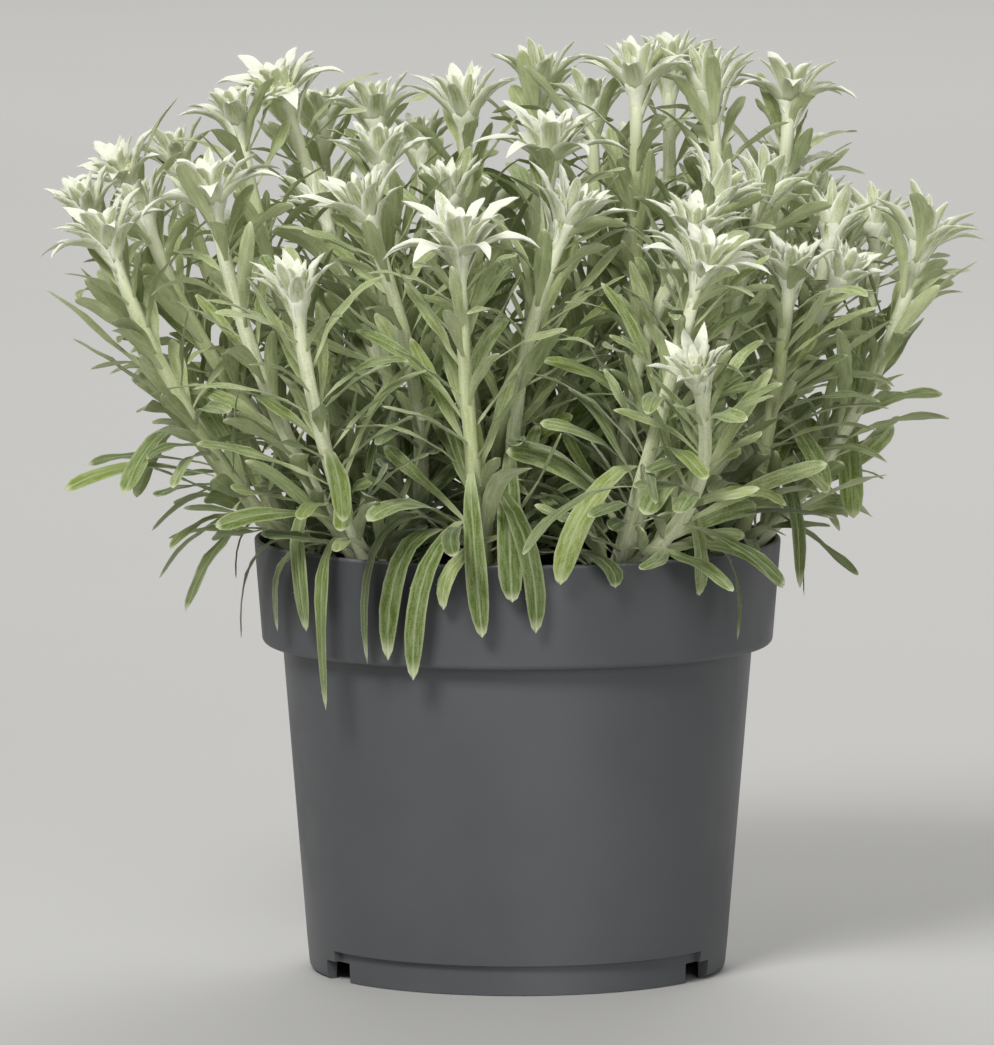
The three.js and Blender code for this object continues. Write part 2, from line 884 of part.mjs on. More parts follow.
// Leaves in a spiral up one stem, longer below, each on the middle of one of the stem's flats
function stemLeafSpots({ stalk, curve }, number) {
  const random = randomFrom(SEEDS.stemLeaves + number);
  const start = Math.floor(STEM.sides * random());
  const count = Math.round(curve[0].distanceTo(curve[3]) / STEM_LEAF.spacing);
  return Array.from({ length: count }, (_, i) => {
    const t = blend(STEM_LEAF.first, STEM_LEAF.last, (i + 0.5) / count);
    return {
      stalk,
      ...placeOnStem(t),
      side: (start + 2 * i) % STEM.sides,
      axis: curveHeading(curve, t).add(UP).normalize(),
      shape: {
        ...LEAF,
        length: blend(STEM_LEAF.lowLength, STEM_LEAF.highLength, t) * blend(...STEM_LEAF.lengths, random()),
        rise: STEM_LEAF.rise + STEM_LEAF.riseRange * random(),
        droop: STEM_LEAF.droop + STEM_LEAF.droopRange * random(),
        width: LEAF.width * blend(...STEM_LEAF.widths, random()),
        stations: t < STEM_LEAF.shortFrom ? LEAF_STATIONS : SHORT_LEAF_STATIONS,
      },
    };
  });
}

// The band of flats under a crown's tip, and the height in it where leaves root
function shoulderOf(stalk) {
  return { band: stalk.rings.length - 2, height: BASAL_LEAF.height };
}

// Basal leaves in a rosette on the shoulder of one crown, one on each of its flats
function basalLeafSpots(stalk) {
  const random = randomFrom(SEEDS.basalLeaves + stalk.owner);
  return Array.from({ length: CROWN.sides }, (_, side) => ({
    stalk,
    ...shoulderOf(stalk),
    side,
    axis: UP,
    shape: {
      ...LEAF,
      length: blend(BASAL_LEAF.shortest, BASAL_LEAF.longest, random()),
      rise: BASAL_LEAF.rise + BASAL_LEAF.riseRange * random(),
      droop: BASAL_LEAF.droop + BASAL_LEAF.droopRange * random(),
      stations: LEAF_STATIONS,
    },
  }));
}

// Spots taken in turn from every list, so that no stem or crown takes all the room first
function inTurn(lists) {
  const longest = Math.max(...lists.map((list) => list.length));
  return Array.from({ length: longest }, (_, i) => lists.map((list) => list[i]).filter(Boolean)).flat();
}

// Leaves that reach for a given tip, from the nearest flat that is far enough away

// A place on a stalk, with the point that a leaf would root at
function placeOn(stalk, place) {
  return { stalk, place, root: middleOf(stalk.rootOn(place)) };
}

function stemPlaces({ stalk }) {
  const places = [];
  for (let t = TIP_LEAF.step; t < TIP_LEAF.highest; t += TIP_LEAF.step) {
    for (let side = 0; side < STEM.sides; side += 1) {
      places.push(placeOn(stalk, { ...placeOnStem(t), side }));
    }
  }
  return places;
}

function crownPlaces(stalk) {
  return stalk.rings[0].map((_, side) => placeOn(stalk, { ...shoulderOf(stalk), side }));
}

function placesNearest(tip, places) {
  return places
    .map((place) => ({ ...place, reach: place.root.distanceTo(tip) }))
    .filter(({ reach }) => reach > TIP_LEAF.shortest)
    .sort((a, b) => a.reach - b.reach);
}

function bladeToTip(root, tip, second, third, outward) {
  const side = UP.clone().cross(outward).normalize();
  return { ...LEAF, curve: [root, second, third, tip], side, stations: LONG_LEAF_STATIONS };
}

// A leaf that arches a little above the straight line to its tip
function outlineBlade(root, tip, lift) {
  const along = (share) => root.clone().lerp(tip, share).addScaledVector(UP, lift);
  const [second, third] = TIP_LEAF.bends.map(along);
  return bladeToTip(root, tip, second, third, at(tip.x - root.x, tip.y - root.y, 0));
}

// A leaf that goes up and over the pot's rim, and down outside it
function fallingBlade(root, tip, lift) {
  const outward = at(tip.x, tip.y, 0).normalize();
  const second = root.clone().addScaledVector(outward, FALLING.out).addScaledVector(UP, lift);
  const third = outward.clone().multiplyScalar(FALLING.clear);
  third.z = POT.height + lift * FALLING.overRim;
  const overRim = at(third.x - root.x, third.y - root.y, 0).normalize();
  return bladeToTip(root, tip, second, third, overRim.add(outward));
}

function placeTipLeaf(tip, places, lifts, bladeTo, room) {
  for (const { stalk, place, root } of placesNearest(tip, places).slice(0, TIP_LEAF.tried)) {
    if (stalk.isTaken(place)) continue;
    const blades = lifts.map((lift) => bladeTo(root, tip, lift));
    const suited = blades.filter((tried) => stalk.suits(place, tried));
    const blade = placeFirst(suited, stalk.owner, room);
    if (!blade) continue;
    stalk.hold(place, blade);
    return;
  }
}

function placeTipLeaves(stems, crowns, room) {
  const places = [...stems.flatMap(stemPlaces), ...crowns.flatMap(crownPlaces)];
  const inside = places.filter(
    ({ root }) => root.z < FALLING.rootTop && Math.hypot(root.x, root.y) < FALLING.rootRadius,
  );
  for (const tip of FALLING_TIPS) placeTipLeaf(at(...tip), inside, FALLING.lifts, fallingBlade, room);
  for (const tip of OUTLINE_TIPS) placeTipLeaf(at(...tip), places, TIP_LEAF.lifts, outlineBlade, room);
}

// Flower heads

const headOwner = (number) => `head ${number}`;

function coreBeads(base, axis) {
  const { heights, radius } = HEAD.beads;
  return heights.map((height) => ({
    centre: base.clone().addScaledVector(axis, height),
    radius,
    atRoot: false,
    shared: true,
  }));
}

// The form of one bract: how long and wide it is, and how far it has opened
function bractShape({ reach, opening, random }, whorl) {
  const tilt = BRACT.tilt * (random() - 0.5);
  return {
    length: reach * whorl.length * blend(...BRACT.lengths, random()),
    rise: blend(whorl.shut[0], whorl.open[0], opening) + tilt,
    droop: blend(whorl.shut[1], whorl.open[1], opening) + tilt,
    width: blend(BRACT.shutWidth, BRACT.width, opening) * whorl.width,
    keel: BRACT.keel * whorl.width,
    rootReach: Infinity,
    shared: true,
    stations: BRACT_STATIONS,
  };
}

// A bract that starts from a three-sided flat of the core, or nothing where none lies clear
function placeBract(head, flat, azimuth, whorl, room) {
  const shape = bractShape(head, whorl);
  const blades = BRACT_TRIES.map(([turn, lift, share]) =>
    archedBlade(middleOf(flat), spoke(head.axis, azimuth + turn), head.axis, {
      ...shape,
      length: shape.length * share,
      rise: Math.min(shape.rise + lift, whorl.steepest),
      droop: Math.min(shape.droop + lift, whorl.steepest + BRACT.curl),
    }),
  );
  return placeFirst(blades, head.owner, room);
}

// Three rings of corners round a head's core, the middle one half a step back from the others
function coreRings(surface, { base, axis, start }) {
  return HEAD.heights.map((height, level) =>
    Array.from({ length: HEAD.bracts }, (_, i) => {
      const relief = level === 2 ? HEAD.relief * (i % 2 ? 1 : -1) : 0;
      const azimuth = start + HEAD_STEP * (level === 1 ? i - 0.5 : i);
      const centre = base.clone().addScaledVector(axis, height + relief);
      return surface.point(centre.addScaledVector(spoke(axis, azimuth), HEAD.radii[level]));
    }),
  );
}

// The faces under, round and over a head's core, but for the flats that bracts start from
function closeCore(surface, { base, axis }, [foot, middle, top]) {
  const apex = surface.point(base.clone().addScaledVector(axis, HEAD.top));
  for (let i = 0; i < HEAD.bracts; i += 1) {
    const next = (i + 1) % HEAD.bracts;
    surface.face(foot[i], foot[next], middle[next]);
    surface.face(middle[i], middle[next], top[i]);
    surface.face(top[i], top[next], apex);
    if (i > 1) surface.face(foot[0], foot[i], foot[i - 1]);
  }
}

// A head in one skin: a small core, an outer bract out of each of its lower flats, and an
// inner bract out of every other flat above
function makeHead([x, y, z, reach, opening], { axis }, number, room) {
  const random = randomFrom(SEEDS.heads + number);
  const start = HEAD_STEP * random();
  const head = { base: at(x, y, z), axis, reach, opening, random, start, owner: headOwner(number) };
  const surface = new Surface();
  const rings = coreRings(surface, head);
  const [foot, middle, top] = rings;
  closeCore(surface, head, rings);
  const growBract = (corners, azimuth, whorl) => {
    const flat = corners.map((corner) => surface.points[corner]);
    surface.grow(corners, placeBract(head, flat, azimuth, whorl, room));
  };
  for (let i = 0; i < HEAD.bracts; i += 1) {
    const next = (i + 1) % HEAD.bracts;
    growBract([middle[next], foot[i], middle[i]], start + HEAD_STEP * i, OUTER_WHORL);
  }
  for (let i = 0; i < HEAD.bracts; i += 1) {
    const next = (i + 1) % HEAD.bracts;
    const corners = [top[next], middle[next], top[i]];
    if (i % 2) surface.close(corners);
    else growBract(corners, start + HEAD_STEP * (i + 0.5), INNER_WHORL);
  }
  return solidOf(surface.geometry());
}

// Clumps: a crown with everything green that grows from it

const label = (word, i) => `${word}_${String(i + 1).padStart(2, "0")}`;

function makePlant() {
  const room = new Room();
  const stems = HEADS.map((head) => growStem(head, room));
  const crowns = CROWNS.map(makeCrown);
  HEADS.forEach(([x, y, z], i) => room.fill(headOwner(i), coreBeads(at(x, y, z), stems[i].axis)));
  const heads = HEADS.map((head, i) => makeHead(head, stems[i], i, room));
  placeTipLeaves(stems, crowns, room);
  for (const spot of inTurn(stems.map(stemLeafSpots))) placeLeaf(spot, room);
  for (const spot of inTurn(crowns.map(basalLeafSpots))) placeLeaf(spot, room);
  const plant = new THREE.Group();
  crowns.forEach((crown, i) => {
    const own = stems.filter(({ stalk }) => stalk.owner === i).map(({ stalk }) => stalk.solid());
    plant.add(meshOf(label("clump", i), joined([crown.solid(), ...own]), COLOURS.leaf));
  });
  heads.forEach((head, i) => plant.add(meshOf(label("flower_head", i), head, COLOURS.bract)));
  return plant;
}

const pottedEdelweiss = new THREE.Group();
pottedEdelweiss.add(meshOf("pot", makePot(), COLOURS.pot));
pottedEdelweiss.add(meshOf("soil", makeSoil(), COLOURS.soil));
pottedEdelweiss.add(makePlant());

export default pottedEdelweiss;
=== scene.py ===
"""Potted edelweiss: the fine pieces of the plant, its pot and its compost.

Each clump of leafy stems, each flower head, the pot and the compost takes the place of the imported
node of the same name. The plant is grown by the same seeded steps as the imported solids, in
millimetres, so that every stem, leaf and bract lies where its solid lies. Veins, felt, florets,
wool and the leaves between the larger ones are added here.
"""

import logging
import math
from dataclasses import dataclass, field, replace
from enum import Enum
from functools import lru_cache
from typing import Callable, Iterable, Sequence

import bpy
import numpy as np
from bpy.types import Material, Mesh, Node, NodeSocket, NodeTree, Object, bpy_prop_collection
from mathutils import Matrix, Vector


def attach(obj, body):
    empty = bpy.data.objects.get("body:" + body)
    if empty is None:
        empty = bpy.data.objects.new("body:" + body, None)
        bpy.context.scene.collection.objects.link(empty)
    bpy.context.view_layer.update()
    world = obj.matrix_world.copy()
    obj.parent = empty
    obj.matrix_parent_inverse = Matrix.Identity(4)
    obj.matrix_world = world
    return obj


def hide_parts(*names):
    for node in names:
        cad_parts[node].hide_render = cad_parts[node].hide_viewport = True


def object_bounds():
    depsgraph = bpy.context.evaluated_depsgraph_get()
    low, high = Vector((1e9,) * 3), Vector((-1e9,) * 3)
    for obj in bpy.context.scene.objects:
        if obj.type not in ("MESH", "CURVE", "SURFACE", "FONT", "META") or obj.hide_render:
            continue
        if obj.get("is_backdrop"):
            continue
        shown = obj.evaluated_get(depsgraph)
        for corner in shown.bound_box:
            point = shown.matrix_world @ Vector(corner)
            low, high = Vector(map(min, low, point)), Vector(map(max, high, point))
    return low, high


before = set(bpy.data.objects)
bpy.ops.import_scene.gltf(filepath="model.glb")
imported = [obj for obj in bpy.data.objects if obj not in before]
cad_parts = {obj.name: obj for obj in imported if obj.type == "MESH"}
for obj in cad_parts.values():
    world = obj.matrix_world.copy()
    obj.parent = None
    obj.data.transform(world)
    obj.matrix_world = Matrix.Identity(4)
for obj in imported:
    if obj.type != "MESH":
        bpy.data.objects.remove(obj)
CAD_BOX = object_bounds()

logging.basicConfig(level=logging.INFO, format="%(message)s")
log = logging.getLogger("edelweiss")

Vec = np.ndarray
Grid = np.ndarray
Point = tuple[float, float]
Colour = tuple[float, float, float, float]
Owner = int | str

MM = 0.001
EAST = np.array([1.0, 0.0, 0.0])
UP = np.array([0.0, 0.0, 1.0])
GOLDEN_ANGLE = 137.508
# The range in which a part's lie is drawn, so that no two parts have the same felt
LIES = (0, 99)

# Crowns: where each rootstock stands in the pot, seen from above
CROWNS = (
    (-6, -42), (20, -38), (-31, -33), (-46, -6), (-24, -5), (0, -14),
    (26, -7), (47, -6), (-34, 30), (0, 38), (34, 30), (-1, 13),
)

# Flower heads: x, y and z of the base, length of the bracts, and how far they have opened
HEADS = (
    (-97, -5, 172, 10, 0.2), (-91, -30, 166, 14.5, 0.75), (-89, 16, 178, 11, 0.5),
    (-63, 3, 191, 12, 0.55), (-53, 14, 197, 13, 0.9), (-68, -35, 176, 16, 0.9),
    (-49, -60, 156, 12, 0.2), (-78, 38, 180, 10, 0.35), (-45, 42, 189, 10, 0.4),
    (-32, 20, 191, 12, 0.55), (-31, -13, 183, 12, 0.4), (-33, -40, 173, 14, 0.35),
    (-22, 20, 184, 10, 0.3), (-12, 0, 193, 15, 0.4), (5, 42, 197, 12, 0.35),
    (7, -20, 185, 16, 0.85), (17, 26, 193, 10, 0.45), (-13, -62, 167, 17, 1),
    (10, -46, 172, 14, 0.3), (-15, -24, 176, 10, 0.1), (25, 48, 179, 10, 0.4),
    (27, -4, 200, 15, 0.6), (35, 30, 201, 12, 0.5), (44, 4, 197, 15, 0.3),
    (62, 10, 196, 14, 0.85), (62, 38, 180, 10, 0.3), (55, -12, 176, 12, 0.5),
    (43, -31, 176, 13, 0.35), (39, -51, 170, 11, 0.4), (40, -70, 163, 15, 0.7),
    (67, 22, 171, 10, 0.2), (71, 1, 167, 11, 0.2), (77, 42, 164, 9, 0.25),
    (82, 17, 166, 11, 0.25), (91, -6, 164, 15, 0.5), (61, -34, 159, 10, 0.25),
    (72, -18, 158, 10, 0.25), (40, -78, 141, 10, 0.2), (-44, 8, 172, 10, 0.1),
    (-84, -12, 172, 9, 0.2), (29, 10, 172, 9, 0.15), (-62, 60, 160, 12, 0.6),
    (-36, 72, 164, 13, 0.45), (-6, 76, 166, 12, 0.7), (26, 74, 162, 13, 0.5),
    (52, 64, 160, 12, 0.6),
)

# Tips of the leaves that fall over the rim, and of those that mark the plant's outline
FALLING_TIPS = (
    (-65, -20, 78), (-56, -34, 81), (-49, -43, 82), (-45, -49, 65), (-37, -54, 76), (-30, -58, 77),
    (-24, -61, 73), (-19, -63, 89), (-9, -65, 83), (-2, -66, 91), (5, -65, 84), (10, -66, 95),
    (23, -62, 94), (42, -51, 91), (52, -41, 80), (66, -24, 90), (68, 14, 84), (38, 54, 86),
    (12, 66, 84), (-12, 65, 74), (-36, 55, 84), (-56, 35, 80), (-67, 12, 88),
)
OUTLINE_TIPS = (
    (-106, -12, 158), (-101, 4, 145), (-97, -16, 140), (-94, 14, 136), (-98, -4, 117),
    (-103, -22, 113), (-89, -32, 113), (-88, 16, 107), (-84, -14, 103), (-83, 2, 90),
    (-76, -30, 86), (101, -6, 157), (92, 12, 149), (86, -16, 136), (84, 4, 113), (70, -30, 113),
    (76, -14, 105), (75, 18, 99), (78, -8, 92), (-52, 80, 118), (-18, 90, 126), (20, 92, 112),
    (54, 78, 124), (-70, 62, 108), (72, 58, 110), (-38, -82, 112), (0, -90, 106), (28, -86, 114),
)


def unit(vectors: Vec) -> Vec:
    """A vector, or each row of vectors, at length 1."""
    return vectors / np.sqrt((vectors * vectors).sum(axis=-1, keepdims=True))


def blend(start: float, end: float, share: float) -> float:
    """The number at a share of the way from start to end."""
    return (1 - share) * start + share * end


def spoke(axis: Vec, azimuth: float) -> Vec:
    """The unit vector square to an axis, at an azimuth in degrees from the side nearest +X."""
    first = unit(EAST - axis * axis[0])
    angle = math.radians(azimuth)
    return first * math.cos(angle) + np.cross(axis, first) * math.sin(angle)


def full_turn(steps: int) -> Vec:
    """The angles of a full turn in equal steps, in radians."""
    return np.linspace(0, 2 * math.pi, steps, endpoint=False)


def level_circle(angles: Vec) -> Vec:
    """The level unit vector at each angle, one a row."""
    return np.stack([np.cos(angles), np.sin(angles), 0 * angles], -1)


def linked(name: str, data: object) -> Object:
    """A new object in the scene."""
    made = bpy.data.objects.new(name, data)
    bpy.context.scene.collection.objects.link(made)
    return made


def random_from(seed: int) -> Callable[[], float]:
    """Make the plant's own source of numbers from 0 to 1.

    Args:
        seed: Where the numbers start.

    Returns:
        A function that gives the next number on each call.
    """
    mask = 0xFFFFFFFF
    state = seed & mask

    def draw() -> float:
        """The next number."""
        nonlocal state
        state = (state + 0x6D2B79F5) & mask
        mixed = ((state ^ (state >> 15)) * (1 | state)) & mask
        mixed = ((mixed + (mixed ^ (mixed >> 7)) * (61 | mixed)) & mask) ^ mixed
        return (mixed ^ (mixed >> 14)) / (mask + 1)

    return draw


@dataclass(frozen=True)
class Curve:
    """A cubic curve with four control points, one a row."""

    points: Vec

    def point(self, t: float | Vec) -> Vec:
        """The point, or one a row, at the share t of the curve."""
        s = 1 - t
        return np.array([s * s * s, 3 * s * s * t, 3 * s * t * t, t * t * t]).T @ self.points

    def heading(self, t: float | Vec) -> Vec:
        """The unit heading, or one a row, at the share t of the curve."""
        s = 1 - t
        return unit(np.array([s * s, 2 * s * t, t * t]).T @ np.diff(self.points, axis=0))


@dataclass(frozen=True)
class Blade:
    """A leaf or bract as its solid has it: a curve, its sideways direction and its widths."""

    curve: Curve
    side: Vec
    width: float = 4.6
    keel: float = 1.0
    stations: tuple[tuple[float, float], ...] = ((0, 0.3), (0.36, 0.85), (0.72, 1))
    root_reach: float = 5.0
    shared: bool = False

    SHORT = ((0, 0.3), (0.56, 1))
    LONG = ((0, 0.35), (0.28, 0.75), (0.52, 0.95), (0.78, 1))

    def sections(self) -> tuple[Vec, Vec, Vec, Vec]:
        """Centre, sideways direction, upward direction and half width at each station and tip."""
        t, share = np.array([*self.stations, (1, 0)], float).T
        heading = self.curve.heading(t)
        normal = unit(np.cross(heading, self.side))
        return self.curve.point(t), np.cross(normal, heading), normal, self.width * share / 2

    def beads(self) -> Vec:
        """Beads that stand for the blade in the room.

        Returns:
            One row a bead: its centre, its radius, and 1 where it is near the blade's root.
        """
        centre, across, normal, half = self.sections()
        rows = []
        run = 0.0
        for i in range(len(centre) - 1):
            length = math.dist(centre[i], centre[i + 1])
            steps = math.ceil(length / Room.STEP)
            share = (np.arange(steps) / steps)[:, None]
            middle = centre[i] + (centre[i + 1] - centre[i]) * share
            wide = half[i] + (half[i + 1] - half[i]) * share
            radius = np.maximum(wide / 3, Room.SMALLEST)
            at_root = (run + length * share < self.root_reach).astype(float)
            aside = 2 / 3 * wide * across[i]
            for offset in (-Room.KEEL_DROP * normal[i], -aside, aside):
                rows.append(np.hstack([middle + offset, radius, at_root]))
            run += length
        rows.append([[*centre[-1], Room.SMALLEST, float(run < self.root_reach)]])
        return np.vstack(rows)


def arched_blade(
    root: Vec, outward: Vec, axis: Vec, length: float, rise: float, droop: float, sway: float = 0, **form
) -> Blade:
    """Make a blade that leaves its root at one angle and turns evenly to another at its tip.

    Args:
        root: Where the blade starts.
        outward: The level direction in which it grows.
        axis: The upward direction of the stalk that carries it.
        length: The blade's length along its curve.
        rise: Angle above the level at the root, in degrees.
        droop: The same angle at the tip.
        sway: How far its tip has turned sideways, in degrees.
        **form: The blade's other fields.

    Returns:
        The blade.
    """

    def towards(angle: float, aside: float = 0) -> Vec:
        """The direction at an angle above the level, turned aside."""
        turned = outward * math.cos(aside) + np.cross(axis, outward) * math.sin(aside) if aside else outward
        return turned * math.cos(math.radians(angle)) + axis * math.sin(math.radians(angle))

    turn = math.radians(droop - rise) / 2
    aside = math.radians(sway)
    chord = length if turn == 0 else length * math.sin(turn) / turn
    tip = root + towards((rise + droop) / 2, aside / 2) * chord
    points = [root, root + towards(rise) * length / 3, tip - towards(droop, aside) * length / 3, tip]
    return Blade(Curve(np.array(points)), np.cross(axis, outward), **form)


def varied(form: dict, lift: float, share: float) -> dict:
    """A blade's shape, lifted by an angle and shortened to a share of its length."""
    steeper = {key: form[key] + lift for key in ("rise", "droop")}
    return {**form, **steeper, "length": form["length"] * share}


@dataclass
class Room:
    """The space that the plant fills: every placed blade and stem leaves its beads in it."""

    gap: float = 0.45
    fine_gap: float = -0.35
    cell: float = 5.4
    beads: dict[tuple[int, int, int], list[tuple]] = field(default_factory=dict)

    STEP = 1.6
    SMALLEST = 0.7
    KEEL_DROP = 0.4
    # Heights, and how far to the side a fine leaf may reach there
    OUTLINE = ((95, 80), (115, 84), (135, 89), (155, 99), (165, 105))
    NEAR = tuple((a, b, c) for a in (-1, 0, 1) for b in (-1, 0, 1) for c in (-1, 0, 1))

    def fill(self, owner: Owner, rows: Iterable[Sequence[float]], shared: bool) -> None:
        """Leave the beads of a placed piece.

        Args:
            owner: The piece's clump or head.
            rows: Its beads.
            shared: Whether the owner's other pieces may touch these beads at their roots.
        """
        for x, y, z, radius, _ in rows:
            key = (int(x // self.cell), int(y // self.cell), int(z // self.cell))
            self.beads.setdefault(key, []).append((x, y, z, radius, shared, owner))

    def is_free(self, owner: Owner, rows: Iterable[Sequence[float]], fine: bool = False) -> bool:
        """Whether beads lie clear of the pot, of the compost and of all that is placed.

        Args:
            owner: Their clump or head.
            rows: The beads.
            fine: Whether the piece is a fine one, whose root may touch all of its own clump.

        Returns:
            True where every bead lies clear.
        """
        gap = self.fine_gap if fine else self.gap
        if fine and self.is_outside(np.array(rows)[:, :3]):
            return False
        for x, y, z, radius, at_root in rows:
            if self.meets_pot(x, y, z, radius, at_root):
                return False
            i, j, k = int(x // self.cell), int(y // self.cell), int(z // self.cell)
            for a, b, c in self.NEAR:
                for ox, oy, oz, other_radius, shared, other in self.beads.get((i + a, j + b, k + c), ()):
                    if at_root and other == owner and (shared or fine):
                        continue
                    apart = radius + other_radius + gap
                    if (x - ox) ** 2 + (y - oy) ** 2 + (z - oz) ** 2 < apart * apart:
                        return False
        return True

    @classmethod
    def is_outside(cls, points: Vec) -> bool:
        """Whether any of some points lies outside the plant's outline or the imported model's box."""
        low, high = np.array(CAD_BOX) / MM
        reach = np.interp(points[:, 2], *zip(*cls.OUTLINE))
        aside = np.abs(points[:, 0])
        return bool((aside > reach).any() or (points < low).any() or (points > high).any())

    def meets_pot(self, x: float, y: float, z: float, radius: float, at_root: float) -> bool:
        """Whether a bead reaches the compost, or the pot from above or from outside."""
        out = math.hypot(x, y)
        if out < Pot.rim_radius - Pot.wall - radius - self.gap:
            return not at_root and z - radius < Compost.level + Compost.crown_rise + self.gap
        return out - radius < Pot.rim_radius + self.gap and z - radius < Pot.height + self.gap

    def place_first(self, blades: Iterable[Blade], owner: Owner, fine: bool = False) -> Blade | None:
        """Place the first of some blades that lies clear.

        Args:
            blades: The blades to try, in order.
            owner: Their clump or head.
            fine: Whether they are fine blades.

        Returns:
            The placed blade, or None where none lies clear.
        """
        for blade in blades:
            rows = blade.beads().tolist()
            if self.is_free(owner, rows, fine):
                self.fill(owner, rows, blade.shared)
                return blade
        return None


@dataclass(frozen=True)
class LeafHabit:
    """How the leaves of one kind vary. Rise and droop are a least angle and how much more there can be."""

    variety: tuple[float, float]
    rise: tuple[float, float]
    droop: tuple[float, float]
    sway: float = 0.0
    width: tuple[float, float] | None = None
    widest: float = 1.0

    def shape(self, draw: Callable[[], float], length: float = 1.0, least_rise: float | None = None) -> dict:
        """Draw the shape of one leaf.

        Args:
            draw: Gives the next number from 0 to 1.
            length: The usual length, where the variety is a share of it.
            least_rise: The least rise, where it isn't the habit's own.

        Returns:
            The fields of an arched blade.
        """
        form = {
            "length": length * blend(*self.variety, draw()),
            "rise": (self.rise[0] if least_rise is None else least_rise) + self.rise[1] * draw(),
            "droop": self.droop[0] + self.droop[1] * draw(),
        }
        if self.sway:
            form["sway"] = self.sway * (draw() - 0.5)
        if self.width:
            form["width"] = self.widest * blend(*self.width, draw())
        return form


@dataclass(frozen=True)
class Place:
    """A place on a stalk: a band of its flats, one side, and a height in the band."""

    band: int
    side: int
    height: float

    @property
    def flat(self) -> tuple[int, int]:
        """The flat that it is on."""
        return self.band, self.side


@dataclass
class Stalk:
    """A stem or crown as its solid has it: a stack of rings, with one leaf at most on a flat."""

    owner: int
    rings: list[Vec]
    leaves: dict[tuple[int, int], tuple[Place, Blade]] = field(default_factory=dict)

    HALF_SHARE = 0.28
    ABOVE = 0.45
    BELOW = 0.8
    LEAST_LEAN = 0.3
    MOST_TWIST = 35.0

    @staticmethod
    def ring(centre: Vec, axis: Vec, radius: float, sides: int) -> Vec:
        """A ring of points round an axis, clockwise seen from the end that it points to."""
        return np.array([centre + spoke(axis, -360 * i / sides) * radius for i in range(sides)])

    @property
    def sides(self) -> int:
        """How many flats are round each band."""
        return len(self.rings[0])

    def root_on(self, place: Place) -> Vec:
        """Find where a leaf's root meets its flat.

        Args:
            place: The leaf's place.

        Returns:
            The left edge, keel and right edge of the root, one a row.
        """
        near = (place.side + 1) % self.sides
        low, high = self.rings[place.band], self.rings[place.band + 1]
        tall = math.dist(low[place.side], high[place.side])

        def spot(across: float, up: float) -> Vec:
            """A point on the flat."""
            left, right = (low[i] + (high[i] - low[i]) * up for i in (near, place.side))
            return left + (right - left) * (0.5 + across)

        top = place.height + self.ABOVE / tall
        keel = place.height - self.BELOW / tall
        return np.array([spot(self.HALF_SHARE, top), spot(0, keel), spot(-self.HALF_SHARE, top)])

    def facing(self, place: Place) -> Vec:
        """The unit vector square to a place's flat, out of the stalk."""
        near = (place.side + 1) % self.sides
        low, high = self.rings[place.band], self.rings[place.band + 1]
        up = (high[place.side] + high[near] - low[place.side] - low[near]) / 2
        return unit(np.cross(low[place.side] - low[near], up))

    def suits(self, place: Place, blade: Blade) -> bool:
        """Whether a blade fits a place.

        Args:
            place: The place.
            blade: The blade.

        Returns:
            True where it leaves its flat outwards, with little twist from ring to ring.
        """
        if blade.curve.heading(0.0) @ self.facing(place) <= self.LEAST_LEAN:
            return False
        root = self.root_on(place)
        _, across, _, _ = blade.sections()
        widths = unit(np.vstack([root[0] - root[2], across[1:-1]]))
        cosines = (widths[1:] * widths[:-1]).sum(axis=1)
        return bool((cosines > math.cos(math.radians(self.MOST_TWIST))).all())

    def place_leaf(self, spot: "LeafSpot", room: Room) -> None:
        """Place a leaf on the first flat, at the first turn, lift and length, where it lies clear.

        Args:
            spot: Where the leaf is to grow.
            room: The plant's room.
        """
        for further, turn, lift, share in LeafSpot.TRIES:
            place = replace(spot.place, side=(spot.place.side + further + self.sides) % self.sides)
            if place.flat in self.leaves:
                continue
            outward = spoke(spot.axis, -360 * (place.side + 0.5) / self.sides + turn)
            form = varied(spot.shape, lift, share)
            blade = arched_blade(self.root_on(place).mean(axis=0), outward, spot.axis, **form)
            if self.suits(place, blade) and room.place_first([blade], self.owner):
                self.leaves[place.flat] = (place, blade)
                return


@dataclass(frozen=True)
class LeafSpot:
    """Where a leaf is to grow, and its shape."""

    stalk: Stalk
    place: Place
    axis: Vec
    shape: dict

    # Flats further round, a turn and a lift in degrees, and a share of the length
    TRIES = (
        (0, 0, 0, 1), (0, 0, 12, 1), (0, 0, -12, 1), (0, 16, 4, 1), (0, -16, 4, 1), (1, 0, 0, 1),
        (-1, 0, 0, 1), (0, 30, 0, 1), (0, -30, 0, 1), (2, 0, 0, 1), (-2, 0, 0, 1), (0, 0, 8, 0.75),
        (0, 24, 6, 0.75), (0, -24, 6, 0.75), (1, 0, 8, 0.75), (-1, 0, 8, 0.75), (0, 0, 20, 0.55),
        (1, 0, 10, 0.55), (-1, 0, 10, 0.55),
    )


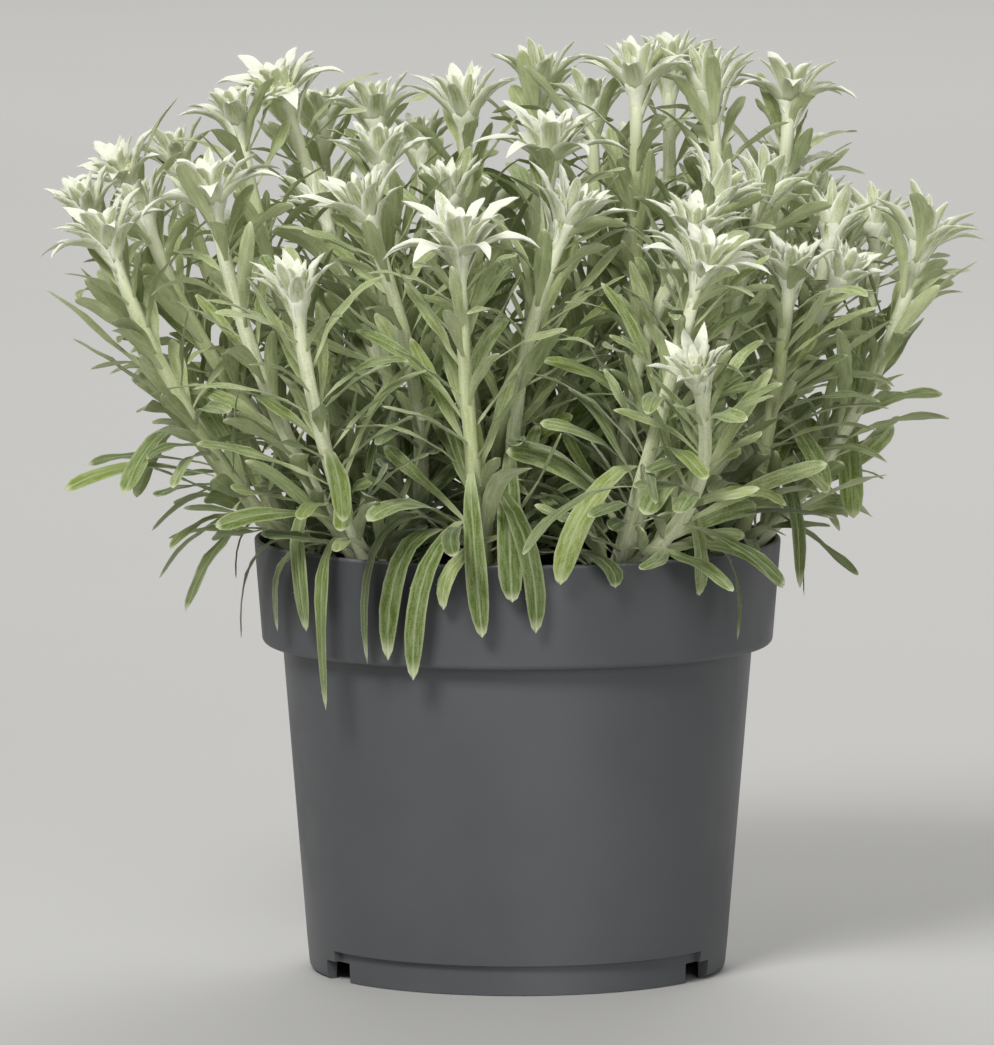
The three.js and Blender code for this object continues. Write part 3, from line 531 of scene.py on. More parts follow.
@dataclass
class Stem:
    """A woolly, slightly tapering stem from a crown to its flower head."""

    number: int
    head: tuple[float, ...]
    foot_radius: float = 2.3
    top_radius: float = 1.9
    sides: int = 5
    bands: int = 3
    bow: float = 0.35
    root_spread: float = 2.4
    crowns_tried: int = 4
    bead_step: float = 2.4
    leaving_crown: tuple = (1.25, 0.8)
    meeting_head: tuple = (0.55, 1.2)
    bows: tuple = (0, 5, -5, 10, -10, 15, -15, 20, -20)
    edge: float = 0.06
    leaf_spacing: float = 19.0
    leaf_span: tuple = (0.12, 0.97)
    leaf_lengths: tuple = (38, 21)
    long_below: float = 0.55
    leaf_seed: int = 1000
    habit: LeafHabit = LeafHabit((0.85, 1.15), (44, 16), (0, 24), width=(0.8, 1), widest=Blade.width)

    curve: Curve = field(init=False)
    stalk: Stalk = field(init=False)

    def radius(self, t: float | Vec) -> float | Vec:
        """The stem's radius at a share of its length."""
        return blend(self.foot_radius, self.top_radius, t)

    def curve_from(self, crown: tuple[float, float], bow: float) -> Curve:
        """Draw the curve out of a crown towards the head and up into it.

        Args:
            crown: Where the crown stands.
            bow: How far the curve bows sideways, in millimetres.

        Returns:
            The curve.
        """
        top = np.array(self.head[:3], float)
        centre = np.array([*crown, Compost.level])
        across = (top - centre) * (1, 1, 0)
        rise = top[2] - centre[2]
        root = centre + unit(across) * self.root_spread
        leans = (self.leaving_crown, self.meeting_head)
        first, last = (unit(across * out + UP * rise * up) for out, up in leans)
        reach = math.dist(root, top) * self.bow
        sideways = unit(np.cross(across, UP)) * bow
        end = top - last * FlowerHead.gap
        return Curve(np.array([root, root + first * reach + sideways, end - last * reach + sideways, end]))

    def beads(self, curve: Curve) -> list[tuple[float, ...]]:
        """Make the beads along the straight runs between the stem's rings.

        Args:
            curve: The stem's curve.

        Returns:
            The beads.
        """
        rows = []
        for band in range(self.bands):
            a, b = (curve.point((band + step) / self.bands) for step in (0, 1))
            steps = math.ceil(math.dist(a, b) / self.bead_step)
            for i in range(steps):
                x, y, z = a + (b - a) * (i / steps)
                at_root = z < Compost.level + Crown.top + self.foot_radius
                rows.append((x, y, z, self.radius((band + i / steps) / self.bands), float(at_root)))
        return rows

    def grow(self, room: Room) -> None:
        """Find the nearest crown with a clear way to the head, and stand the stem there.

        Args:
            room: The plant's room.
        """
        x, y = self.head[:2]
        away = [math.hypot(cx - x / 2, cy - y / 2) for cx, cy in CROWNS]
        for crown in sorted(range(len(CROWNS)), key=away.__getitem__)[: self.crowns_tried]:
            for bow in self.bows:
                curve = self.curve_from(CROWNS[crown], bow)
                rows = self.beads(curve)
                if room.is_free(crown, rows):
                    room.fill(crown, rows, shared=True)
                    self.curve = curve
                    self.stalk = Stalk(crown, [self.ring(i / self.bands) for i in range(self.bands + 1)])
                    return
        raise ValueError(f"no clear way for stem {self.number}")

    def ring(self, t: float) -> Vec:
        """One ring of the stem's solid."""
        return Stalk.ring(self.curve.point(t), self.curve.heading(t), self.radius(t), self.sides)

    def place(self, t: float, side: int) -> Place:
        """The place at a share of the stem's length, on one of its sides."""
        band = math.floor(t * self.bands)
        return Place(band, side, min(max(t * self.bands - band, self.edge), 1 - self.edge))

    def leaf_spots(self) -> list[LeafSpot]:
        """Choose spots for leaves in a spiral up the stem, longer below.

        Returns:
            The spots, from the bottom.
        """
        draw = random_from(self.leaf_seed + self.number)
        start = math.floor(self.sides * draw())
        count = math.floor(math.dist(self.curve.points[0], self.curve.points[3]) / self.leaf_spacing + 0.5)
        spots = []
        for i in range(count):
            t = blend(*self.leaf_span, (i + 0.5) / count)
            shape = self.habit.shape(draw, blend(*self.leaf_lengths, t))
            shape["stations"] = Blade.stations if t < self.long_below else Blade.SHORT
            place = self.place(t, (start + 2 * i) % self.sides)
            spots.append(LeafSpot(self.stalk, place, unit(self.curve.heading(t) + UP), shape))
        return spots

    def places(self) -> list[tuple[Stalk, Place]]:
        """Find where a leaf that reaches for a tip may start.

        Returns:
            The places on the lower part of the stem.
        """
        places = []
        t = TipLeaves.step
        while t < TipLeaves.highest:
            places += [(self.stalk, self.place(t, side)) for side in range(self.sides)]
            t += TipLeaves.step
        return places


@dataclass
class Crown:
    """A short rootstock that stands in the compost and carries stems and a rosette."""

    number: int
    sides: int = 8
    rings: tuple = ((-17, 4.8), (-10.2, 6), (1.2, 6), (3, 4.2))
    top: float = 5.0
    leaf_seed: int = 2000
    habit: LeafHabit = LeafHabit((30, 54), (50, -22), (-10, 20))

    stalk: Stalk = field(init=False)

    def __post_init__(self) -> None:
        """Stand the crown's rings in the compost."""
        rings = [Stalk.ring(self.centre(height), UP, radius, self.sides) for height, radius in self.rings]
        self.stalk = Stalk(self.number, rings)

    def centre(self, height: float) -> Vec:
        """The point on the crown's axis at a height above the compost."""
        return np.array([*CROWNS[self.number], Compost.level + height])

    def shoulder(self, side: int) -> Place:
        """The middle of one of the flats under the crown's tip."""
        return Place(len(self.rings) - 2, side, 0.5)

    def leaf_spots(self) -> list[LeafSpot]:
        """The spots for a rosette of leaves, one on each flat of the shoulder."""
        draw = random_from(self.leaf_seed + self.number)
        return [LeafSpot(self.stalk, self.shoulder(i), UP, self.habit.shape(draw)) for i in range(self.sides)]

    def places(self) -> list[tuple[Stalk, Place]]:
        """The places on the shoulder where a leaf may start that reaches for a tip."""
        return [(self.stalk, self.shoulder(side)) for side in range(self.sides)]


@dataclass
class TipLeaves:
    """The leaves that reach for given tips, each from the nearest flat that is far enough away."""

    room: Room
    places: list[tuple[Stalk, Place, Vec]]

    step: float = 0.04
    highest: float = 0.62
    shortest: float = 26.0
    tried: int = 150
    bends: tuple = (0.3, 0.7)
    lifts: tuple = (6, 10, 3, 14, 18, 0, 24)
    falling_lifts: tuple = (5, 8, 11, 14, 17, 21, 26)
    out: float = 9.0
    clear: float = 67.0
    over_rim: float = 0.85
    root_top: float = 120.0
    root_radius: float = 56.0

    @staticmethod
    def blade(points: list[Vec], outward: Vec) -> Blade:
        """A long leaf on a curve, lying level across an outward direction."""
        return Blade(Curve(np.array(points)), unit(np.cross(UP, outward)), stations=Blade.LONG)

    def outline(self, root: Vec, tip: Vec, lift: float) -> Blade:
        """A leaf that arches above the straight line to its tip by a lift."""
        second, third = (root + (tip - root) * share + UP * lift for share in self.bends)
        return self.blade([root, second, third, tip], (tip - root) * (1, 1, 0))

    def falling(self, root: Vec, tip: Vec, lift: float) -> Blade:
        """Make a leaf that goes up and over the pot's rim, and down outside it.

        Args:
            root: Where the leaf starts.
            tip: Where it ends.
            lift: How far it rises before it falls.

        Returns:
            The leaf.
        """
        outward = unit(tip * (1, 1, 0))
        second = root + outward * self.out + UP * lift
        third = outward * self.clear + UP * (Pot.height + lift * self.over_rim)
        over = unit((third - root) * (1, 1, 0))
        return self.blade([root, second, third, tip], over + outward)

    def place(self, tip: Vec, make: Callable[[Vec, Vec, float], Blade], is_falling: bool) -> None:
        """Place one leaf that reaches for a tip.

        Args:
            tip: Where the leaf ends.
            make: Makes a leaf from a root, the tip and a lift.
            is_falling: Whether it falls over the rim, so that it starts inside it.
        """
        near = []
        for stalk, place, root in self.places:
            inside = root[2] < self.root_top and math.hypot(root[0], root[1]) < self.root_radius
            reach = math.dist(root, tip)
            if reach > self.shortest and (inside or not is_falling):
                near.append((reach, stalk, place, root))
        near.sort(key=lambda item: item[0])
        lifts = self.falling_lifts if is_falling else self.lifts
        for _, stalk, place, root in near[: self.tried]:
            if place.flat in stalk.leaves:
                continue
            blades = (make(root, tip, lift) for lift in lifts)
            blade = self.room.place_first((b for b in blades if stalk.suits(place, b)), stalk.owner)
            if blade:
                stalk.leaves[place.flat] = (place, blade)
                return

    def place_all(self) -> None:
        """Place the falling leaves and then those of the outline."""
        for tip in FALLING_TIPS:
            self.place(np.array(tip, float), self.falling, is_falling=True)
        for tip in OUTLINE_TIPS:
            self.place(np.array(tip, float), self.outline, is_falling=False)


@dataclass(frozen=True)
class WhorlForm:
    """How long and wide the bracts of a whorl are, and how steeply they stand shut and open."""

    length: float
    width: float
    steepest: float
    shut: tuple[float, float]
    open: tuple[float, float]


class Whorl(Enum):
    """The whorls of bracts in a flower head, from its solid's two to the fine ones between."""

    OUTER = WhorlForm(1, 1, 70, (60, 76), (30, -10))
    INNER = WhorlForm(0.6, 0.75, 80, (80, 88), (66, 40))
    MIDDLE = WhorlForm(0.86, 1, 80, (74, 80), (60, 34))
    HEART = WhorlForm(0.5, 0.8, 86, (86, 94), (80, 70))
    COLLAR = WhorlForm(1.05, 0.85, 78, (72, 62), (52, 2))
    SHEATH = WhorlForm(1.2, 0.9, 84, (80, 84), (70, 40))


@dataclass(frozen=True)
class Bract:
    """A placed bract, the whorl it belongs to, and the level direction in which it grows."""

    blade: Blade
    whorl: Whorl
    outward: Vec


@dataclass
class FlowerHead:
    """A flower head: a core of small woolly knobs inside whorls of felted bracts."""

    number: int
    stem: Stem
    room: Room
    bracts: list[Bract] = field(default_factory=list)
    gap: float = 0.35
    petals: int = 6
    heights: tuple = (0, 2.3, 4.3)
    radii: tuple = (1.9, 3.4, 2.6)
    relief: float = 0.4
    bead_heights: tuple = (1.4, 3.4)
    bead_radius: float = 3.06
    seed: int = 3000
    width: float = 4.4
    shut_width: float = 2.6
    keel: float = 1.2
    curl: float = 12.0
    most_tilt: float = 12.0
    variety: tuple = (0.85, 1.12)
    stations: tuple = ((0, 0.7), (0.42, 1))
    neck_bracts: int = 7
    collar_bracts: int = 3
    neck_radius: float = 2.0
    neck_top: float = 0.4
    neck_step: float = 1.3

    # A turn, a lift and a share of the length, in the order in which a bract tries them
    TRIES = (
        (0, 0, 1), (8, 6, 1), (-8, 6, 1), (0, 18, 1), (0, 30, 0.9), (10, 24, 0.85), (-10, 24, 0.85),
        (0, 42, 0.75),
    )
    # The fine bracts between two petals: whorl, height, radius, share of a step, and a further turn
    BETWEEN = (
        (Whorl.MIDDLE, 2.9, 3.0, 0.5, 0), (Whorl.INNER, 3.9, 2.4, 0.5, 20), (Whorl.HEART, 4.3, 1.9, 0.2, 0),
    )

    def __post_init__(self) -> None:
        """Stand the core on its stem and leave its beads in the room."""
        x, y, z, self.reach, self.opening = self.stem.head
        self.base = np.array([x, y, z], float)
        self.axis = self.stem.curve.heading(1.0)
        self.owner = f"head {self.number}"
        rows = [(*(self.base + self.axis * height), self.bead_radius, 0.0) for height in self.bead_heights]
        self.room.fill(self.owner, rows, shared=True)

    def corner(self, level: int, i: int) -> Vec:
        """Find a corner of the core's solid.

        Args:
            level: Which of its heights the corner is at.
            i: The corner's number round the core.

        Returns:
            The corner.
        """
        relief = self.relief * (1 if i % 2 else -1) if level == 2 else 0
        azimuth = self.start + 360 / self.petals * (i - 0.5 if level == 1 else i)
        return self.spot(self.heights[level] + relief, self.radii[level], azimuth)

    def grow_bract(self, root: Vec, azimuth: float, whorl: Whorl, fine: bool = False) -> None:
        """Place one bract, where one lies clear.

        Args:
            root: Where it starts.
            azimuth: Its direction round the head's axis, in degrees.
            whorl: The whorl it belongs to.
            fine: Whether it is one of the fine bracts that the solid doesn't have.
        """
        form = whorl.value
        tilt = self.most_tilt * (self.draw() - 0.5)
        length = self.reach * form.length * blend(*self.variety, self.draw())
        rise, droop = (blend(*ends, self.opening) + tilt for ends in zip(form.shut, form.open))
        width = blend(self.shut_width, self.width, self.opening) * form.width
        shape = {"width": width, "keel": self.keel * form.width, "stations": self.stations}
        shape |= {"root_reach": math.inf, "shared": True}
        steepest, curled = form.steepest, form.steepest + self.curl
        blades = (
            arched_blade(
                root, spoke(self.axis, azimuth + turn), self.axis, length * share,
                min(rise + lift, steepest), min(droop + lift, curled), **shape,
            )
            for turn, lift, share in self.TRIES
        )
        blade = self.room.place_first(blades, self.owner, fine)
        if blade:
            self.bracts.append(Bract(blade, whorl, spoke(self.axis, azimuth)))

    def grow(self) -> None:
        """Place the bracts that the head's solid has."""
        self.draw = random_from(self.seed + self.number)
        step = 360 / self.petals
        self.start = step * self.draw()
        for i in range(self.petals):
            after = (i + 1) % self.petals
            root = (self.corner(1, after) + self.corner(0, i) + self.corner(1, i)) / 3
            self.grow_bract(root, self.start + step * i, Whorl.OUTER)
        for i in range(0, self.petals, 2):
            after = (i + 1) % self.petals
            root = (self.corner(2, after) + self.corner(1, after) + self.corner(2, i)) / 3
            self.grow_bract(root, self.start + step * (i + 0.5), Whorl.INNER)

    def grow_fine(self) -> None:
        """Place the fine bracts between the larger ones, round the heart and under the head."""
        step = 360 / self.petals
        for i in range(1, self.petals, 2):
            for whorl, height, radius, share, turn in self.BETWEEN:
                azimuth = self.start + step * (i + share) + turn
                self.grow_bract(self.spot(height, radius, azimuth), azimuth, whorl, fine=True)
        for i in range(self.neck_bracts):
            azimuth = self.start + GOLDEN_ANGLE * i
            whorl = Whorl.COLLAR if i < self.collar_bracts else Whorl.SHEATH
            foot = self.spot(self.neck_top - self.neck_step * i, self.neck_radius, azimuth)
            self.grow_bract(foot, azimuth, whorl, fine=True)

    def spot(self, height: float, radius: float, azimuth: float) -> Vec:
        """A point round the head's axis."""
        return self.base + self.axis * height + spoke(self.axis, azimuth) * radius


@dataclass
class FineLeaf:
    """A leaf to be skinned: its blade, where its skin starts in the stalk, and whether it is withered."""

    blade: Blade
    anchor: Vec
    withered: bool = False


@dataclass
class Plant:
    """The whole plant: crowns, stems, flower heads and leaves in one shared room."""

    room: Room = field(default_factory=Room)
    leaves: dict[int, list[FineLeaf]] = field(default_factory=dict)
    root_depth: float = 2.0
    extra_seed: int = 5000
    stem_extras: int = 28
    stem_span: tuple = (0.06, 0.985)
    stem_lengths: tuple = (35, 21)
    stem_rises: tuple = (34, 62)
    stem_habit: LeafHabit = LeafHabit((0.7, 1.25), (0, 26), (-16, 80), 80, (2.7, 4.4))
    crown_extras: int = 50
    crown_withered: int = 3
    crown_rises: tuple = (24, 12)
    crown_heights: tuple = (1.8, 4)
    crown_reach: float = 3.6
    crown_habit: LeafHabit = LeafHabit((24, 60), (0, 54), (-40, 84), 90, (3, 4.7))

    # A turn, a lift and a share of the length, in the order in which a smaller leaf tries them
    TRIES = (
        (0, 0, 1), (25, 0, 1), (-25, 0, 1), (50, 6, 1), (-50, 6, 1), (0, 14, 0.8), (80, 0, 0.8),
        (-80, 0, 0.8), (110, 10, 0.7), (-110, 10, 0.7), (0, 22, 0.6), (150, 8, 0.6), (180, 0, 0.5),
    )

    def grow(self) -> None:
        """Grow everything that the solids have, and then the fine bracts and leaves between."""
        self.stems = [Stem(i, head) for i, head in enumerate(HEADS)]
        for stem in self.stems:
            stem.grow(self.room)
        self.crowns = [Crown(i) for i in range(len(CROWNS))]
        self.heads = [FlowerHead(i, stem, self.room) for i, stem in enumerate(self.stems)]
        for head in self.heads:
            head.grow()
        places = [place for carrier in (*self.stems, *self.crowns) for place in carrier.places()]
        rooted = [(stalk, place, stalk.root_on(place).mean(axis=0)) for stalk, place in places]
        TipLeaves(self.room, rooted).place_all()
        for owners in (self.stems, self.crowns):
            for spot in self.in_turn([owner.leaf_spots() for owner in owners]):
                spot.stalk.place_leaf(spot, self.room)
        self.gather()
        for head in self.heads:
            head.grow_fine()
        self.grow_extras()

    @staticmethod
    def in_turn(lists: list[list]) -> list:
        """The items of some lists, one from each in turn."""
        longest = max(len(items) for items in lists)
        return [items[i] for i in range(longest) for items in lists if i < len(items)]

    def gather(self) -> None:
        """Keep every placed leaf with its clump, rooted inside its stem or crown."""
        self.leaves = {crown.number: [] for crown in self.crowns}
        for stem in self.stems:
            for place, blade in stem.stalk.leaves.values():
                anchor = stem.curve.point((place.band + place.height) / stem.bands)
                self.leaves[stem.stalk.owner].append(FineLeaf(blade, anchor))
        for crown in self.crowns:
            for _, blade in crown.stalk.leaves.values():
                inwards = (crown.centre(0) - blade.curve.points[0]) * (1, 1, 0)
                anchor = blade.curve.points[0] + unit(inwards) * self.root_depth
                self.leaves[crown.number].append(FineLeaf(blade, anchor))

    def grow_extras(self) -> None:
        """Fill the room that is left with smaller leaves on the stems and crowns."""
        spots = [list(self.stem_spots(stem)) for stem in self.stems]
        spots += [list(self.crown_spots(crown)) for crown in self.crowns]
        for owner, anchor, outward, axis, reach, form, withered in self.in_turn(spots):
            blades = []
            for turn, lift, share in self.TRIES:
                angle = math.radians(turn)
                turned = outward * math.cos(angle) + np.cross(axis, outward) * math.sin(angle)
                root, shape = anchor + turned * reach, varied(form, lift, share)
                blades.append(arched_blade(root, turned, axis, **shape))
            blade = self.room.place_first(blades, owner, fine=True)
            if blade:
                self.leaves[owner].append(FineLeaf(blade, anchor, withered))

    def stem_spots(self, stem: Stem) -> Iterable[tuple]:
        """Choose spots for smaller leaves in a spiral up one stem.

        Args:
            stem: The stem.

        Yields:
            The owner, the anchor, the outward direction, the axis, the distance of the leaf's root
            from the anchor, the leaf's shape, and whether it is withered.
        """
        draw = random_from(self.extra_seed + stem.number)
        start = 360 * draw()
        for i in range(self.stem_extras):
            t = blend(*self.stem_span, (i + draw()) / self.stem_extras)
            heading = stem.curve.heading(t)
            form = self.stem_habit.shape(draw, blend(*self.stem_lengths, t), blend(*self.stem_rises, t))
            form["stations"] = Blade.SHORT
            outward = spoke(heading, start + GOLDEN_ANGLE * i)
            yield stem.stalk.owner, stem.curve.point(t), outward, heading, stem.radius(t), form, False

    def crown_spots(self, crown: Crown) -> Iterable[tuple]:
        """Choose spots for more leaves in a rosette, the last few of them withered.

        Args:
            crown: The crown.

        Yields:
            The same as for a stem.
        """
        draw = random_from(self.extra_seed + len(self.stems) + crown.number)
        for i in range(self.crown_extras):
            withered = i >= self.crown_extras - self.crown_withered
            form = self.crown_habit.shape(draw, least_rise=self.crown_rises[withered])
            anchor = crown.centre(blend(*self.crown_heights, draw()))
            outward = spoke(UP, GOLDEN_ANGLE * i)
            yield crown.number, anchor, outward, UP, self.crown_reach, form, withered


@lru_cache(maxsize=None)
def tube_triangles(rows: int, around: int) -> Vec:
    """The triangles of a closed tube, whose two end points follow its grid of points.

    Args:
        rows: How many rings the tube has.
        around: How many points are in a ring.

    Returns:
        Three point numbers a row, anticlockwise seen from outside.
    """
    i, j = np.mgrid[0 : rows - 1, 0:around]
    a, b = i * around + j, i * around + (j + 1) % around
    c, d = b + around, a + around
    j = np.arange(around)
    after = (j + 1) % around
    start, end, last = rows * around, rows * around + 1, (rows - 1) * around
    bands = [np.stack([a, b, c], -1).reshape(-1, 3), np.stack([a, c, d], -1).reshape(-1, 3)]
    caps = [
        np.stack([np.full(around, start), after, j], -1),
        np.stack([np.full(around, end), last + j, last + after], -1),
    ]
    return np.vstack([*bands, *caps])


def blade_colours(
    shape: tuple, along: object = 1, tone: object = 0.5, across: object = 0.5, face: object = 1
) -> Grid:
    """The blade colours of a grid of points, each part a number or values that fit the grid."""
    return np.stack([np.broadcast_to(part, shape) for part in (along, across, tone, face)], -1)


def outward_normals(grid: Grid) -> Grid:
    """The outward unit normal at each point of a tube's grid."""
    along = np.gradient(grid, axis=0)
    around = np.roll(grid, -1, axis=1) - np.roll(grid, 1, axis=1)
    return unit(np.cross(around, along) + 1e-9 * UP)


@dataclass(frozen=True)
class Fleece:
    """Wool that stands on a surface: its hairs' number, length, thickness and lean."""

    hairs: int
    length: float = 0.7
    radius: float = 0.045
    lean: float = 0.7
    margin_share: float = 0.0


class Skin:
    """The surface of one piece, gathered part by part in millimetres.

    Each point has a blade colour (along, across, tone, face) and a lie, which is its place on the
    flattened part in millimetres. The finishes read both.
    """

    HAIR = np.array([[0, 1, 3], [1, 2, 3], [2, 0, 3], [0, 2, 1]])
    HAIR_CORNERS = np.radians([0, 120, 240])
    HAIR_ROOT = 0.06
    HAIR_LENGTHS = (0.5, 1.25)
    LAST_ROW = 1.01
    MARGIN_FROM = 0.49
    # How far hairs stray: from the margin in columns, round their foot, and from their lean
    STRAY = (0.12, 0.6, 0.45)

    def __init__(self, seed: int) -> None:
        """Start an empty skin with its own seeded numbers."""
        self.rng = np.random.default_rng(seed)
        self.parts: list[tuple[Vec, Vec, Vec, Vec, Vec]] = []
        self.count = 0

    def add(self, points: Vec, triangles: Vec, blade: Vec, lie: Vec, finish: int) -> None:
        """Add points and the triangles between them, counted within these points, in one finish."""
        self.parts.append((points, triangles + self.count, blade, lie, np.full(len(triangles), finish)))
        self.count += len(points)

    def tube(self, grid: Grid, blade: Grid, lie: Grid, finish: int) -> None:
        """Add a closed tube from grids of its points, anticlockwise seen from its far end."""
        flat = [np.vstack([*part, part[[0, -1]].mean(axis=1)]) for part in (grid, blade, lie)]
        self.add(flat[0], tube_triangles(*grid.shape[:2]), *flat[1:], finish)

    def fleece(self, grid: Grid, wool: Fleece, margins: Sequence[int], finish: int) -> None:
        """Stand short tapering hairs on a tube.

        Args:
            grid: The tube's rings of points.
            wool: The wool's hairs.
            margins: The columns of the grid that are its margins.
            finish: The number of the hairs' finish.
        """
        rows, around = grid.shape[:2]
        n = wool.hairs
        if not n:
            return
        rng = self.rng
        off_margin, off_foot, off_lean = self.STRAY
        row, column = rng.uniform(0, rows - self.LAST_ROW, n), rng.uniform(0, around, n)
        if margins:
            at_margin = rng.random(n) < wool.margin_share
            beside = rng.choice(margins, n) + rng.normal(0, off_margin, n)
            column = np.where(at_margin, beside, column) % around
        i, j = row.astype(int), column.astype(int) % around
        u, v = (row - i)[:, None], (column % 1)[:, None]
        after = (j + 1) % around

        def between(values: Grid) -> Vec:
            """The values at the hairs' feet."""
            low = values[i, j] * (1 - v) + values[i, after] * v
            high = values[i + 1, j] * (1 - v) + values[i + 1, after] * v
            return low * (1 - u) + high * u

        foot, normal = between(grid), unit(between(outward_normals(grid)))
        along = unit(grid[i + 1, j] - grid[i, j] + 1e-9)
        first = unit(np.cross(normal, along + rng.normal(0, off_foot, (n, 3))))
        second = np.cross(normal, first)
        drift = along * wool.lean + rng.normal(0, off_lean, (n, 3))
        length = wool.length * rng.uniform(*self.HAIR_LENGTHS, n)[:, None]
        tip = foot + unit(normal + drift) * length
        root = foot - normal * self.HAIR_ROOT
        base = [root + (first * math.cos(a) + second * math.sin(a)) * wool.radius for a in self.HAIR_CORNERS]
        points = np.stack([*base, tip], axis=1).reshape(-1, 3)
        triangles = (self.HAIR + 4 * np.arange(n)[:, None, None]).reshape(-1, 3)
        blade = np.tile([0.5, 0.5, 0.5, 1.0], (4 * n, 1))
        self.add(points, triangles, blade, points, finish)

    def build(self, name: str, finishes: Sequence[Material]) -> Object:
        """Make the object, in metres.

        Args:
            name: The piece's name.
            finishes: Its materials, in the order of their numbers.

        Returns:
            The new object, linked to the scene.
        """
        points, triangles, blade, lie, finish = (np.concatenate(column) for column in zip(*self.parts))
        mesh = bpy.data.meshes.new(name)
        mesh.vertices.add(len(points))
        mesh.vertices.foreach_set("co", (points * MM).ravel())
        mesh.loops.add(triangles.size)
        mesh.loops.foreach_set("vertex_index", triangles.ravel().astype(np.int32))
        mesh.polygons.add(len(triangles))
        mesh.polygons.foreach_set("loop_start", np.arange(0, triangles.size, 3, dtype=np.int32))
        mesh.polygons.foreach_set("material_index", finish.astype(np.int32))
        mesh.polygons.foreach_set("use_smooth", np.ones(len(triangles), dtype=bool))
        mesh.attributes.new("blade", "FLOAT_COLOR", "POINT").data.foreach_set("color", blade.ravel())
        mesh.attributes.new("lie", "FLOAT_VECTOR", "POINT").data.foreach_set("vector", lie.ravel())
        mesh.update(calc_edges=True)
        self.sharpen_margins(mesh, blade)
        for material in finishes:
            mesh.materials.append(material)
        return linked(name, mesh)

    @classmethod
    def sharpen_margins(cls, mesh: Mesh, blade: Vec) -> None:
        """Part the shading of the two faces of every blade along its margins.

        Args:
            mesh: The piece's mesh.
            blade: The blade colours of its points.
        """
        ends = np.empty(2 * len(mesh.edges), dtype=np.int32)
        mesh.edges.foreach_get("vertices", ends)
        at_margin = np.abs(blade[:, 1] - 0.5) > cls.MARGIN_FROM
        sharp = at_margin[ends.reshape(-1, 2)].all(axis=1)
        mesh.attributes.new("sharp_edge", "BOOLEAN", "EDGE").data.foreach_set("value", sharp)


def place_piece(piece: Object, node: str, slot: "Slot") -> None:
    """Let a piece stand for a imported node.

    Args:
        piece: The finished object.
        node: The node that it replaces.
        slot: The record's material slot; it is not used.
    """
    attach(piece, "root")
    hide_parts(node)
    piece.data.calc_loop_triangles()
    log.info("%s: %d triangles", piece.name, len(piece.data.loop_triangles))


class Slot(Enum):
    """The record's material slots."""

    POT = "pot_plastic"
    COMPOST = "compost"
    FOLIAGE = "foliage"
    BRACTS = "bracts"


